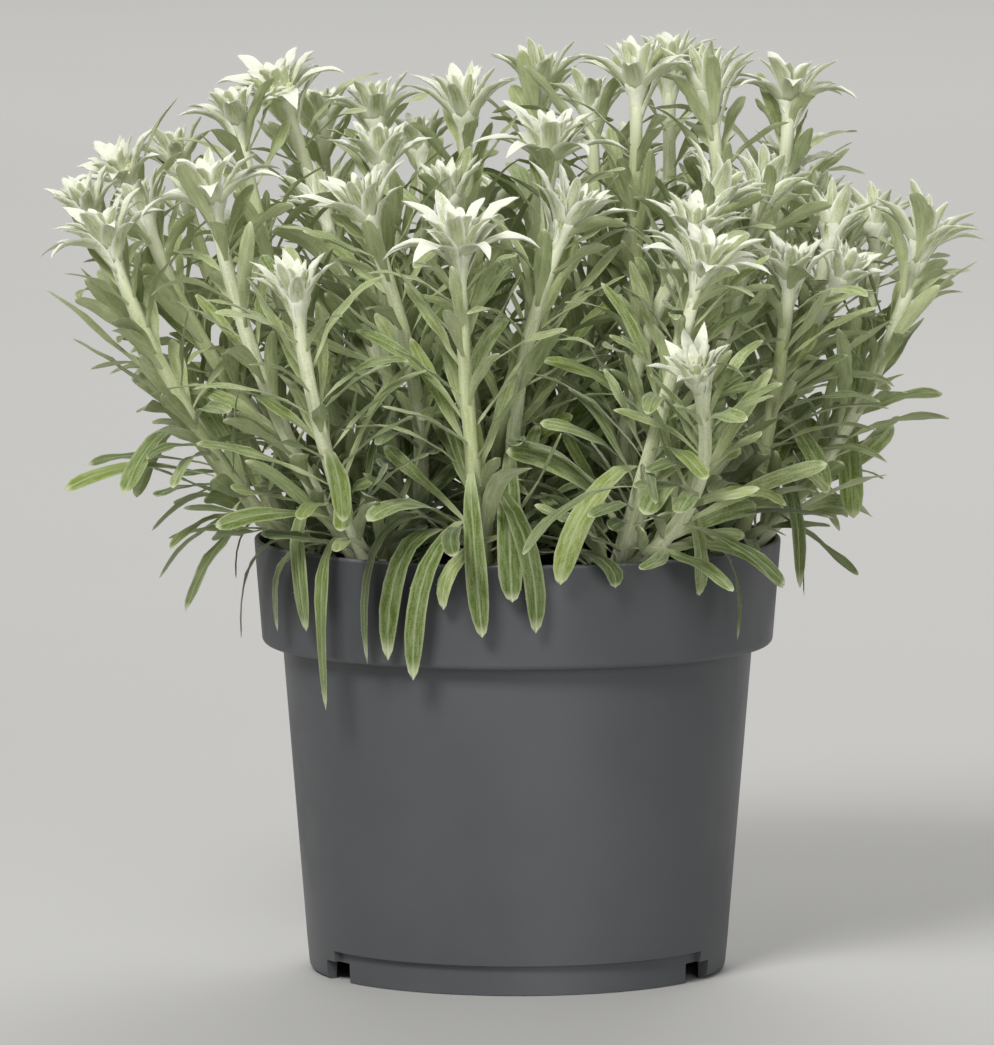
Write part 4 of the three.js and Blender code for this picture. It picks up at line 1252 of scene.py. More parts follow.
@dataclass(frozen=True)
class BladeSkin:
    """The fine skin of a blade, drawn along the curve of its solid.

    The section goes from the right edge over the top to the left edge and back below. Each of its
    points is a share of the half width, a share of the keel, and 1 on the upper face.
    """

    section: tuple[tuple[float, float, float], ...]
    rows: int
    foot: float
    widest: float
    tip_from: float
    tip_power: float
    breadth: float
    thickness: float
    twist: float
    ripple: float
    arch: float
    curl: float
    wool: Fleece

    EDGE = 0.1
    VARIETY = (0.8, 1.05)
    CROWDING = 1.6
    TWIST_POWER = 1.4
    FULL_KEEL = 0.32
    THINNING = 0.35
    WAVES = (1.5, 3.2)
    CURL_FROM = 0.5

    def share(self, t: Vec) -> Vec:
        """Give a blade its outline.

        Args:
            t: Shares of the blade's length.

        Returns:
            The half width at each of them, as a share of the widest.
        """
        rise = np.clip(t / self.widest, 0, 1)
        body = self.foot + (1 - self.foot) * rise * rise * (3 - 2 * rise)
        end = np.clip((t - self.tip_from) / (1 - self.tip_from), 0, 1)
        return body * (1 - end**2) ** self.tip_power

    def lay(self, skin: Skin, blade: Blade, anchor: Vec, tone: float, finish: int, wool: int) -> None:
        """Lay the skin over a blade.

        Args:
            skin: The piece that the blade is part of.
            blade: The blade.
            anchor: Where the skin starts, inside what carries the blade.
            tone: The blade's place between the finish's two colours.
            finish: The number of the blade's finish.
            wool: The number of its hairs' finish.
        """
        rng = skin.rng
        points = blade.curve.points.copy()
        points[0] = anchor
        curve = Curve(points)
        t = 1 - (1 - np.linspace(0, 1, self.rows)) ** self.CROWDING
        heading, centre = curve.heading(t), curve.point(t)
        normal = unit(np.cross(heading, blade.side))
        across = np.cross(normal, heading)
        turn = (self.twist * rng.uniform(-1, 1) * t**self.TWIST_POWER)[:, None]
        across, normal = (
            across * np.cos(turn) + normal * np.sin(turn),
            normal * np.cos(turn) - across * np.sin(turn),
        )
        length = np.sqrt((np.diff(points, axis=0) ** 2).sum(axis=1)).sum()
        widest = blade.width / 2 * self.breadth * rng.uniform(*self.VARIETY)
        half = np.maximum(widest * self.share(t), self.EDGE)
        keel = np.minimum(1, half / (blade.width * self.FULL_KEEL))
        deep = blade.keel * self.thickness * keel * (1 - self.THINNING * t)
        u, v, face = np.array(self.section, float).T
        ripple = self.ripples(t[:, None], u, rng)
        drop = self.curl * length * np.clip((t - self.CURL_FROM) / (1 - self.CURL_FROM), 0, 1) ** 2
        lift = self.arch * length * 4 * t * (1 - t)
        centre = centre + normal * (lift - drop)[:, None]
        grid = (
            centre[:, None]
            + across[:, None] * (half[:, None] * u)[..., None]
            + normal[:, None] * (deep[:, None] * v + ripple)[..., None]
        )
        colour = blade_colours(ripple.shape, t[:, None], tone, across=(u + 1) / 2, face=face)
        lie = np.stack(np.broadcast_arrays(half[:, None] * u, length * t[:, None], rng.uniform(*LIES)), -1)
        skin.tube(grid, colour, lie, finish)
        margins = [int(np.argmax(u)), int(np.argmin(u))]
        skin.fleece(grid[1:], self.wool, margins, wool)

    def ripples(self, t: Vec, u: Vec, rng: np.random.Generator) -> Grid:
        """Draw the waves of a blade's two margins.

        Args:
            t: Shares of the blade's length, in a column.
            u: Where the section's points lie across the blade.
            rng: The piece's seeded numbers.

        Returns:
            How far each point of the blade stands up.
        """
        waves, phase = rng.uniform(*self.WAVES), rng.uniform(0, 2 * math.pi, 2)
        sides = zip(phase, (u < 0, u > 0))
        left, right = (np.sin(2 * math.pi * waves * t + start) * side for start, side in sides)
        return self.ripple * (left + right) * u**2 * np.sin(math.pi * t)


LEAF_SECTION = (
    (1, 0, 1), (0.52, 0.1, 1), (0, -0.36, 1), (-0.52, 0.1, 1), (-1, 0, 1),
    (-0.6, -0.5, 0), (0, -1, 0), (0.6, -0.5, 0),
)
BRACT_SECTION = (
    (1, 0.42, 1), (0.55, 0.16, 1), (0, -0.2, 1), (-0.55, 0.16, 1), (-1, 0.42, 1),
    (-0.66, -0.42, 0), (0, -1, 0), (0.66, -0.42, 0),
)
LEAF_SKIN = BladeSkin(
    LEAF_SECTION, rows=12, foot=0.18, widest=0.6, tip_from=0.7, tip_power=0.55, breadth=1.05, thickness=0.5,
    twist=0.7, ripple=0.4, arch=0, curl=0.04, wool=Fleece(16, 0.6, 0.04, 1.1, 0.65),
)
BLUNT_LEAF_SKIN = replace(LEAF_SKIN, foot=0.22, widest=0.76, tip_from=0.84, breadth=1.26)
WITHERED_SKIN = replace(LEAF_SKIN, breadth=0.7, twist=2.2, ripple=0.9)
BRACT_SKIN = BladeSkin(
    BRACT_SECTION, rows=11, foot=0.8, widest=0.3, tip_from=0.32, tip_power=0.95, breadth=1.36, thickness=0.7,
    twist=0.3, ripple=0.3, arch=0.06, curl=0.13, wool=Fleece(34, 0.7, 0.045, 0.8, 0.65),
)
BLUNT_BRACT_SKIN = replace(BRACT_SKIN, widest=0.5, tip_from=0.5, tip_power=0.62, breadth=1.08, curl=0.06)
LEAFY_BRACT_SKIN = replace(BRACT_SKIN, foot=0.35, widest=0.5, tip_from=0.5, breadth=1.1, curl=0.1)


@dataclass
class Clump:
    """The fine piece of one crown with its stems and leaves."""

    plant: Plant
    crown: Crown
    skin: Skin = field(init=False)
    seed: int = 100
    crown_tip: tuple = (4.6, 2.4)
    crown_grid: tuple = (12, 20)
    stem_grid: tuple = (30, 12)
    slender: float = 0.77
    ribs: tuple = (0.06, 0.05)
    stem_wool: Fleece = Fleece(150, 0.5, 0.05, 0.9)
    blunt_below: float = 42.0
    # How tone follows height, reach and chance: low, inner leaves come out darker, partly painted shade
    tone_reach: float = 90.0
    tone_shares: tuple = (0.66, 0.26)
    tone_spread: float = 0.2

    LEAF = 0
    STEM = 1
    WOOL = 2
    WITHERED = 3

    def build(self, finishes: "Finishes") -> None:
        """Make the piece and let it stand for the clump's node.

        Args:
            finishes: The plant's finishes.
        """
        self.skin = Skin(self.seed + self.crown.number)
        self.lay_crown()
        for stem in self.plant.stems:
            if stem.stalk.owner == self.crown.number:
                self.lay_stem(stem)
        for leaf in self.plant.leaves[self.crown.number]:
            self.lay_leaf(leaf)
        number = f"{self.crown.number + 1:02d}"
        materials = [finishes.leaf, finishes.stem, finishes.wool, finishes.withered]
        piece = self.skin.build(f"leafy_clump_{number}", materials)
        place_piece(piece, f"clump_{number}", Slot.FOLIAGE)

    def lay_crown(self) -> None:
        """Add the rootstock, ridged by the bases of old leaves."""
        rows, points = self.crown_grid
        heights, radii = zip(*self.crown.rings, self.crown_tip)
        height = np.linspace(heights[0], heights[-1], rows)
        radius = np.interp(height, heights, radii)
        angle = full_turn(points)
        knobs = 1 - 0.09 * (1 + np.sin(5 * angle + height[:, None] * 0.9) * np.sin(height[:, None] * 1.7))
        around = (radius[:, None] * knobs)[..., None] * level_circle(angle)
        self.lay_round(self.crown.centre(0) + around + height[:, None, None] * UP, radius, height)

    def lay_round(self, grid: Grid, radius: Vec, along: Vec) -> None:
        """Add a round stalk with its blade colours and lie.

        Args:
            grid: The stalk's rings of points.
            radius: The radius of each ring.
            along: How far along the stalk each ring is, in millimetres.
        """
        rows, points = grid.shape[:2]
        turn, spread = full_turn(points), radius[:, None]
        colour = blade_colours((rows, points), np.linspace(0.7, 1, rows)[:, None], self.skin.rng.random())
        drawn = self.skin.rng.uniform(*LIES) + spread * np.sin(turn) * 2.8
        lie = np.stack(np.broadcast_arrays(spread * np.cos(turn), along[:, None], drawn), -1)
        self.skin.tube(grid, colour, lie, self.STEM)

    def lay_stem(self, stem: Stem) -> None:
        """Add a stem, ribbed where leaf bases run down it.

        Args:
            stem: The stem.
        """
        rows, points = self.stem_grid
        t = np.linspace(0, 1, rows)
        centre, heading = stem.curve.point(t), stem.curve.heading(t)
        first = unit(EAST - heading * heading[:, :1])
        second = np.cross(heading, first)
        angle = full_turn(points)
        length = math.dist(stem.curve.points[0], stem.curve.points[3])
        down = np.sin(3 * angle + 5 * t[:, None])
        joints = np.sin(length * 0.35 * t[:, None] + stem.number)
        radius = stem.radius(t) * self.slender
        spread = (radius[:, None] * (1 + self.ribs[0] * down + self.ribs[1] * joints))[..., None]
        grid = centre[:, None] + spread * (
            first[:, None] * np.cos(angle)[:, None] + second[:, None] * np.sin(angle)[:, None]
        )
        self.lay_round(grid, radius, length * t)
        self.skin.fleece(grid, self.stem_wool, (), self.WOOL)

    def lay_leaf(self, leaf: FineLeaf) -> None:
        """Add a leaf, darker and greener low down and inside, partly its own colour and partly painted shade,
        and paler near the heads.

        Args:
            leaf: The leaf.
        """
        skin, (x, y, z) = self.skin, leaf.blade.curve.points[3]
        if leaf.withered:
            WITHERED_SKIN.lay(skin, leaf.blade, leaf.anchor, skin.rng.random(), self.WITHERED, self.WOOL)
            return
        # Tone rises with height and reach: low, inner leaves take the dark Deep colour, partly painted shade
        # of the plant's inside
        height, out = (z - Compost.level) / self.tone_reach, math.hypot(x, y) / self.tone_reach
        by_height, by_reach = self.tone_shares
        tone = np.clip(by_height * height + by_reach * out + skin.rng.normal(0, self.tone_spread), 0, 1)
        form = BLUNT_LEAF_SKIN if z < Compost.level + self.blunt_below else LEAF_SKIN
        form.lay(skin, leaf.blade, leaf.anchor, float(tone), self.LEAF, self.WOOL)


@dataclass
class FineHead:
    """The fine piece of one flower head: its bracts, and the florets in its heart."""

    head: FlowerHead
    skin: Skin = field(init=False)
    seed: int = 300
    core_points: int = 10
    core_ridge: float = 0.09
    core_rings: tuple = (
        (-6, 1.2), (-4, 1.4), (-2, 1.65), (-0.4, 1.95), (1.1, 2.6), (2.3, 3.1), (3.4, 3.1), (4.3, 2.5),
        (4.8, 1.2),
    )
    core_wool: Fleece = Fleece(60, 0.6, 0.05, 0.2)
    knob_radius: float = 1.15
    knob_rings: tuple = ((-0.6, 0.6), (0.1, 1), (0.7, 0.95), (1.2, 0.62), (1.4, 0.25))
    knob_heights: tuple = (4.4, 4.0)
    knob_spread: float = 1.75
    knob_lean: float = 0.35
    knob_wool: Fleece = Fleece(10, 0.5, 0.05, 0.1)
    florets: int = 7
    floret_spread: float = 0.82
    floret_rings: tuple = ((0, 0.17), (0.55, 0.15), (0.85, 0.24))
    shut_tone: float = 0.3
    tone_spread: float = 0.09
    root_depth: float = 1.3

    BRACT = 0
    FLORET = 1
    WOOL = 2
    # How leafy the bracts of a whorl are, and their form
    WHORLS = {
        Whorl.SHEATH: (1.0, LEAFY_BRACT_SKIN),
        Whorl.COLLAR: (0.6, BRACT_SKIN),
        Whorl.OUTER: (0.2, BRACT_SKIN),
        Whorl.MIDDLE: (0.12, BLUNT_BRACT_SKIN),
        Whorl.INNER: (0.04, BLUNT_BRACT_SKIN),
        Whorl.HEART: (0.04, BLUNT_BRACT_SKIN),
    }

    def build(self, finishes: "Finishes") -> None:
        """Make the piece and let it stand for the head's node.

        Args:
            finishes: The plant's finishes.
        """
        self.skin = Skin(self.seed + self.head.number)
        self.lay_core()
        self.lay_heart()
        for bract in self.head.bracts:
            self.lay_bract(bract)
        number = f"{self.head.number + 1:02d}"
        piece = self.skin.build(f"felted_head_{number}", [finishes.bract, finishes.floret, finishes.wool])
        place_piece(piece, f"flower_head_{number}", Slot.BRACTS)

    def dome(self, centre: Vec, axis: Vec, rings: Iterable, finish: int, ridge: float = 0) -> Grid:
        """Add a round form about an axis.

        Args:
            centre: Where the axis starts.
            axis: The axis.
            rings: A height and a radius for each ring, from the bottom.
            finish: Which finish it has.
            ridge: How far every other column stands out, as a share of the radius.

        Returns:
            Its grid of points.
        """
        height, radius = np.array(rings, float).T
        angle = np.linspace(0, 360, self.core_points, endpoint=False)
        spokes = np.array([spoke(axis, a) for a in angle])
        stand = 1 + ridge * np.where(np.arange(self.core_points) % 2, -1, 1)[:, None]
        grid = centre + height[:, None, None] * axis + radius[:, None, None] * spokes * stand
        colour = blade_colours(grid.shape[:2], np.linspace(0, 1, len(height))[:, None])
        self.skin.tube(grid, colour, grid - centre, finish)
        return grid

    def lay_core(self) -> None:
        """Add the core that carries the bracts."""
        grid = self.dome(self.head.base, self.head.axis, self.core_rings, self.BRACT, self.core_ridge)
        self.skin.fleece(grid[1:], self.core_wool, (), self.WOOL)

    def lay_heart(self) -> None:
        """Add the knobs of florets, one in the middle and a ring round it."""
        head = self.head
        around = 3 + round(3 * head.opening)
        middle, beside = self.knob_heights
        spots = [head.spot(middle, 0, 0)]
        spots += [head.spot(beside, self.knob_spread, head.start + 360 * i / around) for i in range(around)]
        rings = [(height, share * self.knob_radius) for height, share in self.knob_rings]
        for i, centre in enumerate(spots):
            out = unit(head.axis + (self.knob_lean if i else 0) * unit(centre - head.base))
            grid = self.dome(centre, out, rings, self.FLORET)
            self.skin.fleece(grid, self.knob_wool, (), self.WOOL)
            for j in range(self.florets):
                self.lay_floret(centre + out, out, j)

    def lay_floret(self, centre: Vec, axis: Vec, j: int) -> None:
        """Add one tiny floret in the spiral on a knob.

        Args:
            centre: The top of the knob.
            axis: The knob's axis.
            j: The floret's place in the spiral.
        """
        rng = self.skin.rng
        out = self.floret_spread * math.sqrt((j + 0.4) / self.florets)
        lean = spoke(axis, GOLDEN_ANGLE * j)
        foot = centre + lean * out - axis * 0.35 * out
        heading = unit(axis + lean * 0.5 * out + rng.normal(0, 0.08, 3))
        spokes = [spoke(heading, azimuth) for azimuth in (0, 90, 180, 270)]
        grid = np.array([[foot + heading * h + s * r for s in spokes] for h, r in self.floret_rings])
        colour = blade_colours(grid.shape[:2], np.array([[0.0], [0.6], [1.0]]), rng.random(), face=0)
        self.skin.tube(grid, colour, grid - foot, self.FLORET)

    def lay_bract(self, bract: Bract) -> None:
        """Add a bract, leafier where it is under the head.

        Args:
            bract: The bract.
        """
        leafy, form = self.WHORLS[bract.whorl]
        shut = 1 - self.head.opening
        tone = np.clip(leafy + self.shut_tone * shut + self.skin.rng.normal(0, self.tone_spread), 0, 1)
        anchor = bract.blade.curve.points[0] - bract.outward * self.root_depth
        form.lay(self.skin, bract.blade, anchor, float(tone), self.BRACT, self.WOOL)


def paint(code: str) -> Colour:
    """A screen colour such as "c8d0a0" as linear light."""
    parts = [int(code[i : i + 2], 16) / 255 for i in (0, 2, 4)]
    red, green, blue = (p / 12.92 if p < 0.04045 else ((p + 0.055) / 1.055) ** 2.4 for p in parts)
    return (red, green, blue, 1.0)


@dataclass(frozen=True)
class Graph:
    """Adds and links the nodes of one shader tree."""

    tree: NodeTree

    def add(self, kind: str, inputs: dict | None = None, **settings: object) -> Node:
        """Add a node.

        Args:
            kind: Blender's name for the kind of node.
            inputs: Values or sockets for its inputs.
            **settings: The node's own settings.

        Returns:
            The new node.
        """
        node = self.tree.nodes.new(kind)
        for key, value in settings.items():
            setattr(node, key, value)
        self.feed(node, inputs or {})
        return node

    def feed(self, node: Node, inputs: dict) -> None:
        """Give a node its inputs.

        Args:
            node: The node.
            inputs: Values or sockets for its inputs.
        """
        for key, value in inputs.items():
            if isinstance(value, NodeSocket):
                self.tree.links.new(value, node.inputs[key])
            else:
                node.inputs[key].default_value = value

    def math(self, operation: str, *values: object) -> NodeSocket:
        """The result of a Math node."""
        return self.add("ShaderNodeMath", dict(enumerate(values)), operation=operation).outputs[0]

    def mix(self, share: object, first: object, second: object) -> NodeSocket:
        """A colour between two colours."""
        return self.add("ShaderNodeMix", {0: share, 6: first, 7: second}, data_type="RGBA").outputs[2]

    def ramp(
        self, value: object, low: float, high: float, start: float = 0, end: float = 1
    ) -> NodeSocket:
        """A smooth ramp from start at low to end at high."""
        inputs = {"Value": value, "From Min": low, "From Max": high, "To Min": start, "To Max": end}
        return self.add("ShaderNodeMapRange", inputs, interpolation_type="SMOOTHSTEP").outputs[0]

    def noise(
        self, vector: object, scale: object, detail: float = 3, roughness: float = 0.6
    ) -> NodeSocket:
        """A noise value at a vector."""
        inputs = {"Vector": vector, "Scale": scale, "Detail": detail, "Roughness": roughness}
        return self.add("ShaderNodeTexNoise", inputs).outputs["Fac"]

    def scaled(self, vector: object, by: object) -> NodeSocket:
        """A vector multiplied by another, part by part."""
        return self.add("ShaderNodeVectorMath", {0: vector, 1: by}, operation="MULTIPLY").outputs[0]

    def group(self, shared: NodeTree, inputs: dict) -> Node:
        """Add a shared group."""
        return self.add("ShaderNodeGroup", inputs, node_tree=shared)


def new_material(name: str) -> tuple[Material, Graph, Node]:
    """Make a material with a Principled shader.

    Args:
        name: The material's name.

    Returns:
        The material, its graph and its shader.
    """
    material = bpy.data.materials.new(name)
    material.use_nodes = True
    return material, Graph(material.node_tree), material.node_tree.nodes["Principled BSDF"]


def shared_group(
    name: str, inputs: dict[str, tuple], outputs: dict[str, str], fill: Callable
) -> NodeTree:
    """Make a shader node group once.

    Args:
        name: The group's name.
        inputs: A kind and a first value for each named input.
        outputs: A kind for each named output.
        fill: Takes the graph and the input sockets, and returns the output sockets by name.

    Returns:
        The group.
    """
    if name in bpy.data.node_groups:
        return bpy.data.node_groups[name]
    tree = bpy.data.node_groups.new(name, "ShaderNodeTree")
    for label, (kind, value) in inputs.items():
        socket = tree.interface.new_socket(label, in_out="INPUT", socket_type=f"NodeSocket{kind}")
        socket.default_value = value
    for label, kind in outputs.items():
        tree.interface.new_socket(label, in_out="OUTPUT", socket_type=f"NodeSocket{kind}")
    graph = Graph(tree)
    sockets = tree.nodes.new("NodeGroupInput").outputs
    out = tree.nodes.new("NodeGroupOutput")
    for label, socket in fill(graph, sockets).items():
        tree.links.new(socket, out.inputs[label])
    return tree


def felt_group() -> NodeTree:
    """Felt of matted hairs: streaks along a blade, and fuzz finer than they are."""

    def fill(graph: Graph, given: bpy_prop_collection) -> dict:
        """Fill the group."""
        inverse = graph.math("DIVIDE", 1.0, given["Streak"])
        stretch = graph.math("MULTIPLY", inverse, 0.12)
        by = graph.add("ShaderNodeCombineXYZ", {0: inverse, 1: stretch, 2: 1.0}).outputs[0]
        streaks = graph.noise(graph.scaled(given["Lie"], by), 1.0, 4, 0.65)
        fuzz = graph.noise(given["Lie"], graph.math("DIVIDE", 1.0, given["Fuzz"]), 3, 0.7)
        height = graph.math("ADD", graph.math("MULTIPLY", streaks, 0.6), graph.math("MULTIPLY", fuzz, 0.4))
        return {"Height": height, "Mask": graph.ramp(height, 0.39, 0.61)}

    inputs = {"Lie": ("Vector", (0, 0, 0)), "Streak": ("Float", 0.4), "Fuzz": ("Float", 0.2)}
    return shared_group("Felt", inputs, {"Height": "Float", "Mask": "Float"}, fill)


# On leaves, Deep is the colour of low, inner leaves: partly their own greener colour, partly painted shade
FELT_COLOURS = ("Deep", "Fresh", "Young", "Pale", "Foot", "Hair", "Vein", "Below fresh", "Below pale")


def blade_tint_group() -> NodeTree:
    """A blade's colour: two faces, veins below, a pale rib and margins, and wool over them."""

    def fill(graph: Graph, given: bpy_prop_collection) -> dict:
        """Fill the group."""
        along, across, tone = graph.add("ShaderNodeSeparateColor", {0: given["Blade"]}).outputs
        out = graph.math("ABSOLUTE", graph.math("SUBTRACT", graph.math("MULTIPLY", across, 2.0), 1.0))
        seed = graph.add("ShaderNodeSeparateXYZ", {0: given["Lie"]}).outputs["Z"]
        young = graph.ramp(graph.math("FRACT", graph.math("MULTIPLY", seed, 3.7)), 0.55, 1.0, 0, 0.85)
        young = graph.math("MULTIPLY", young, graph.math("SUBTRACT", 1.0, tone))
        # Low tones take the Deep colour: on leaves, partly painted shade of the plant's inside
        up = graph.ramp(tone, 0.0, 0.4)
        fresh = graph.mix(up, given["Deep"], graph.mix(young, given["Fresh"], given["Young"]))
        top = graph.mix(graph.ramp(tone, 0.3, 1.0), fresh, given["Pale"])
        below = graph.mix(tone, given["Below fresh"], given["Below pale"])
        lines = graph.math("SINE", graph.math("MULTIPLY", across, 27.0))
        drift = graph.noise(graph.scaled(given["Lie"], (0.9, 0.12, 1.0)), 1.0, 1, 0.4)
        lines, drift = graph.ramp(lines, -0.7, 0.9, 0.35, 1), graph.ramp(drift, 0.3, 0.6, 0.3, 1)
        vein = graph.math("MULTIPLY", lines, drift)
        vein = graph.math("MULTIPLY", vein, graph.ramp(out, 0.85, 0.3))
        vein = graph.math("MULTIPLY", vein, graph.ramp(along, 1.0, 0.35, 0.2, 1))
        below = graph.mix(graph.math("MULTIPLY", vein, given["Veins"]), below, given["Vein"])
        colour = graph.mix(given["Face"], below, top)
        colour = graph.mix(graph.ramp(along, 0.5, 0.12), colour, given["Foot"])
        # Low tones carry less wool, which keeps the painted shade of low, inner leaves dark and saturated
        wool = graph.math("MULTIPLY", graph.ramp(tone, 0.0, 0.8, 0.35, 1), given["Wool"])
        colour = graph.mix(graph.math("MULTIPLY", given["Felt"], wool), colour, given["Hair"])
        rib = graph.math("MULTIPLY", graph.ramp(out, 0.16, 0.0), given["Rib"])
        colour = graph.mix(rib, colour, given["Hair"])
        margin = graph.math("MULTIPLY", graph.ramp(out, 0.66, 1.0), given["Margin"])
        colour = graph.mix(margin, colour, given["Hair"])
        colour = graph.mix(graph.ramp(along, 0.94, 1.0, 0, 0.7), colour, given["Hair"])
        return {"Colour": colour}

    inputs = {label: ("Color", (1, 1, 1, 1)) for label in ("Blade", *FELT_COLOURS)}
    inputs |= {label: ("Float", 0.5) for label in ("Face", "Felt", "Rib", "Margin", "Wool", "Veins")}
    inputs["Lie"] = ("Vector", (0, 0, 0))
    return shared_group("Blade tint", inputs, {"Colour": "Color"}, fill)


def mottle_group() -> NodeTree:
    """Broad and fine blotches over a hard or crumbly surface."""

    def fill(graph: Graph, given: bpy_prop_collection) -> dict:
        """Fill the group."""
        broad = graph.noise(given["Place"], given["Broad"], 4, 0.55)
        fine = graph.noise(given["Place"], given["Fine"], 3, 0.6)
        return {"Broad": graph.ramp(broad, 0.35, 0.65), "Fine": fine}

    inputs = {"Place": ("Vector", (0, 0, 0)), "Broad": ("Float", 20.0), "Fine": ("Float", 900.0)}
    return shared_group("Mottle", inputs, {"Broad": "Float", "Fine": "Float"}, fill)


@dataclass(frozen=True)
class Finish:
    """A finish, made into one material."""

    name: str
    roughness: float = 0.9
    sheen: float = 0.0
    specular: float = 0.3
    sheen_roughness: float = 0.45
    relief: float = 0.3
    depth: float = 0.0002

    def material(self) -> Material:
        """Make the material.

        Returns:
            A new material with a Principled shader.
        """
        material, graph, shader = new_material(self.name)
        graph.feed(shader, {"Specular IOR Level": self.specular, "Sheen Weight": self.sheen})
        graph.feed(shader, {"Sheen Roughness": self.sheen_roughness, "Roughness": self.roughness})
        colour, height, roughness = self.surface(graph)
        graph.feed(shader, {"Base Color": colour, "Roughness": roughness})
        relief = {"Strength": self.relief, "Distance": self.depth, "Height": height}
        graph.feed(shader, {"Normal": graph.add("ShaderNodeBump", relief).outputs[0]})
        return material

    def surface(self, graph: Graph) -> tuple:
        """The colour, the height and the roughness over the surface."""
        raise NotImplementedError


@dataclass(frozen=True)
class Felted(Finish):
    """A felted leaf, bract or stem: the colours of its skin, and of the hairs on it."""

    # In the order of FELT_COLOURS
    colours: str = "435710 5c7126 8b9c2e 95a266 b6bf90 d2d7b2 66783a 748942 b0ba88"
    rib: float = 0.26
    margin: float = 0.26
    wool: float = 0.5
    veins: float = 0.34
    streak: float = 0.7
    fuzz: float = 0.34

    def surface(self, graph: Graph) -> tuple:
        """Make felt.

        Args:
            graph: The material's graph.

        Returns:
            The colour, the height and the roughness.
        """
        blade = graph.add("ShaderNodeAttribute", attribute_name="blade").outputs
        lie = graph.add("ShaderNodeAttribute", attribute_name="lie").outputs["Vector"]
        felt = graph.group(felt_group(), {"Lie": lie, "Streak": self.streak, "Fuzz": self.fuzz}).outputs
        inputs = {"Blade": blade["Color"], "Lie": lie, "Face": blade["Alpha"], "Felt": felt["Mask"]}
        inputs |= {"Rib": self.rib, "Margin": self.margin, "Wool": self.wool, "Veins": self.veins}
        inputs |= zip(FELT_COLOURS, map(paint, self.colours.split()))
        return graph.group(blade_tint_group(), inputs).outputs["Colour"], felt["Height"], self.roughness


@dataclass(frozen=True)
class Moulded(Finish):
    """Matt moulded plastic with a fine grain, a little dust, and a painted highlight along its lip."""

    colour: str = "494b4e"
    worn: str = "606265"
    # Colour of the painted highlight on the lip's top edge; lip gives that edge's heights in metres
    lip_highlight: str = "8d8f93"
    wear: float = 0.14
    lip: tuple[float, float] = (0.0981, 0.0989)
    smoother: float = 0.05
    rougher: float = 0.08

    def surface(self, graph: Graph) -> tuple:
        """Make plastic, worn in blotches, with a painted highlight in patches along the lip.

        Args:
            graph: The material's graph.

        Returns:
            The colour, the height and the roughness.
        """
        place = graph.add("ShaderNodeTexCoord").outputs["Object"]
        mottle = graph.group(mottle_group(), {"Place": place, "Broad": 28.0, "Fine": 2600.0}).outputs
        share = graph.math("MULTIPLY", mottle["Broad"], self.wear)
        colour = graph.mix(share, paint(self.colour), paint(self.worn))
        height = graph.add("ShaderNodeSeparateXYZ", {0: place}).outputs["Z"]
        at_lip, in_patches = graph.ramp(height, *self.lip, 0, 0.6), graph.ramp(mottle["Fine"], 0.3, 0.6)
        # Painted highlight: the top millimetre of the lip turns paler in patches, as if it caught the light
        lip_highlight_share = graph.math("MULTIPLY", at_lip, in_patches)
        colour = graph.mix(lip_highlight_share, colour, paint(self.lip_highlight))
        smooth, rough = self.roughness - self.smoother, self.roughness + self.rougher
        return colour, mottle["Fine"], graph.ramp(mottle["Broad"], 0, 1, smooth, rough)


@dataclass(frozen=True)
class Crumbly(Finish):
    """Damp compost of dark fibres and crumbs, some of them pale."""

    dark: str = "2a1e15"
    light: str = "5b4430"
    grit: str = "b9ad97"
    grit_from: tuple[float, float] = (0.9, 0.92)

    def surface(self, graph: Graph) -> tuple:
        """Make compost.

        Args:
            graph: The material's graph.

        Returns:
            The colour, the height and the roughness.
        """
        place = graph.add("ShaderNodeTexCoord").outputs["Object"]
        mottle = graph.group(mottle_group(), {"Place": place, "Broad": 260.0, "Fine": 1500.0}).outputs
        blade = graph.add("ShaderNodeAttribute", attribute_name="blade").outputs[0]
        tone = graph.add("ShaderNodeSeparateColor", {0: blade}).outputs[2]
        colour = graph.mix(mottle["Broad"], paint(self.dark), paint(self.light))
        colour = graph.mix(graph.ramp(tone, *self.grit_from), colour, paint(self.grit))
        return colour, mottle["Fine"], self.roughness


class Finishes:
    """The materials of the whole object."""

    def __init__(self) -> None:
        """Make every material once."""
        self.leaf = Felted("Felted leaf", sheen=0.2, relief=0.5).material()
        self.stem = Felted(
            "Woolly stem", sheen=0.3, relief=0.7, rib=0, margin=0, wool=0.75, veins=0, streak=0.9, fuzz=0.5,
            colours="a5ae74 b2bb87 b9c27f c3ca9f b0b988 e8ead2 66783a b2bb87 c3ca9f",
        ).material()
        self.bract = Felted(
            "Felted bract", sheen=0.25, relief=0.5, rib=0, margin=0.9, wool=0.72, veins=0.8, streak=0.5,
            colours="ebecd9 e6e9d2 edeedb bcc498 d5dab5 f5f6ea 7f8f3c c8cfa6 a0ab6e",
        ).material()
        self.floret = Felted(
            "Floret", sheen=0.2, rib=0, wool=0.3, veins=0,
            colours="d8dcb4 d8dcb4 d8dcb4 c9c68e c2c993 eeeed8 66783a d8dcb0 d2c98c",
        ).material()
        self.wool = Felted(
            "Wool", sheen=0.4, relief=0, rib=0, veins=0,
            colours="eceedd eceedd eceedd eceedd eceedd eceedd 66783a eceedd eceedd",
        ).material()
        self.withered = Felted(
            "Withered leaf",
            colours="5d4a2e 7a6237 86703f 94804f 5d4a2e a8966c 5d4a2e 7d6a45 94825b",
        ).material()
        self.pot = Moulded("Pot plastic", roughness=0.46, specular=0.5, relief=0.12).material()
        self.compost = Crumbly("Compost crumb", roughness=0.95, relief=0.7, depth=0.0008).material()


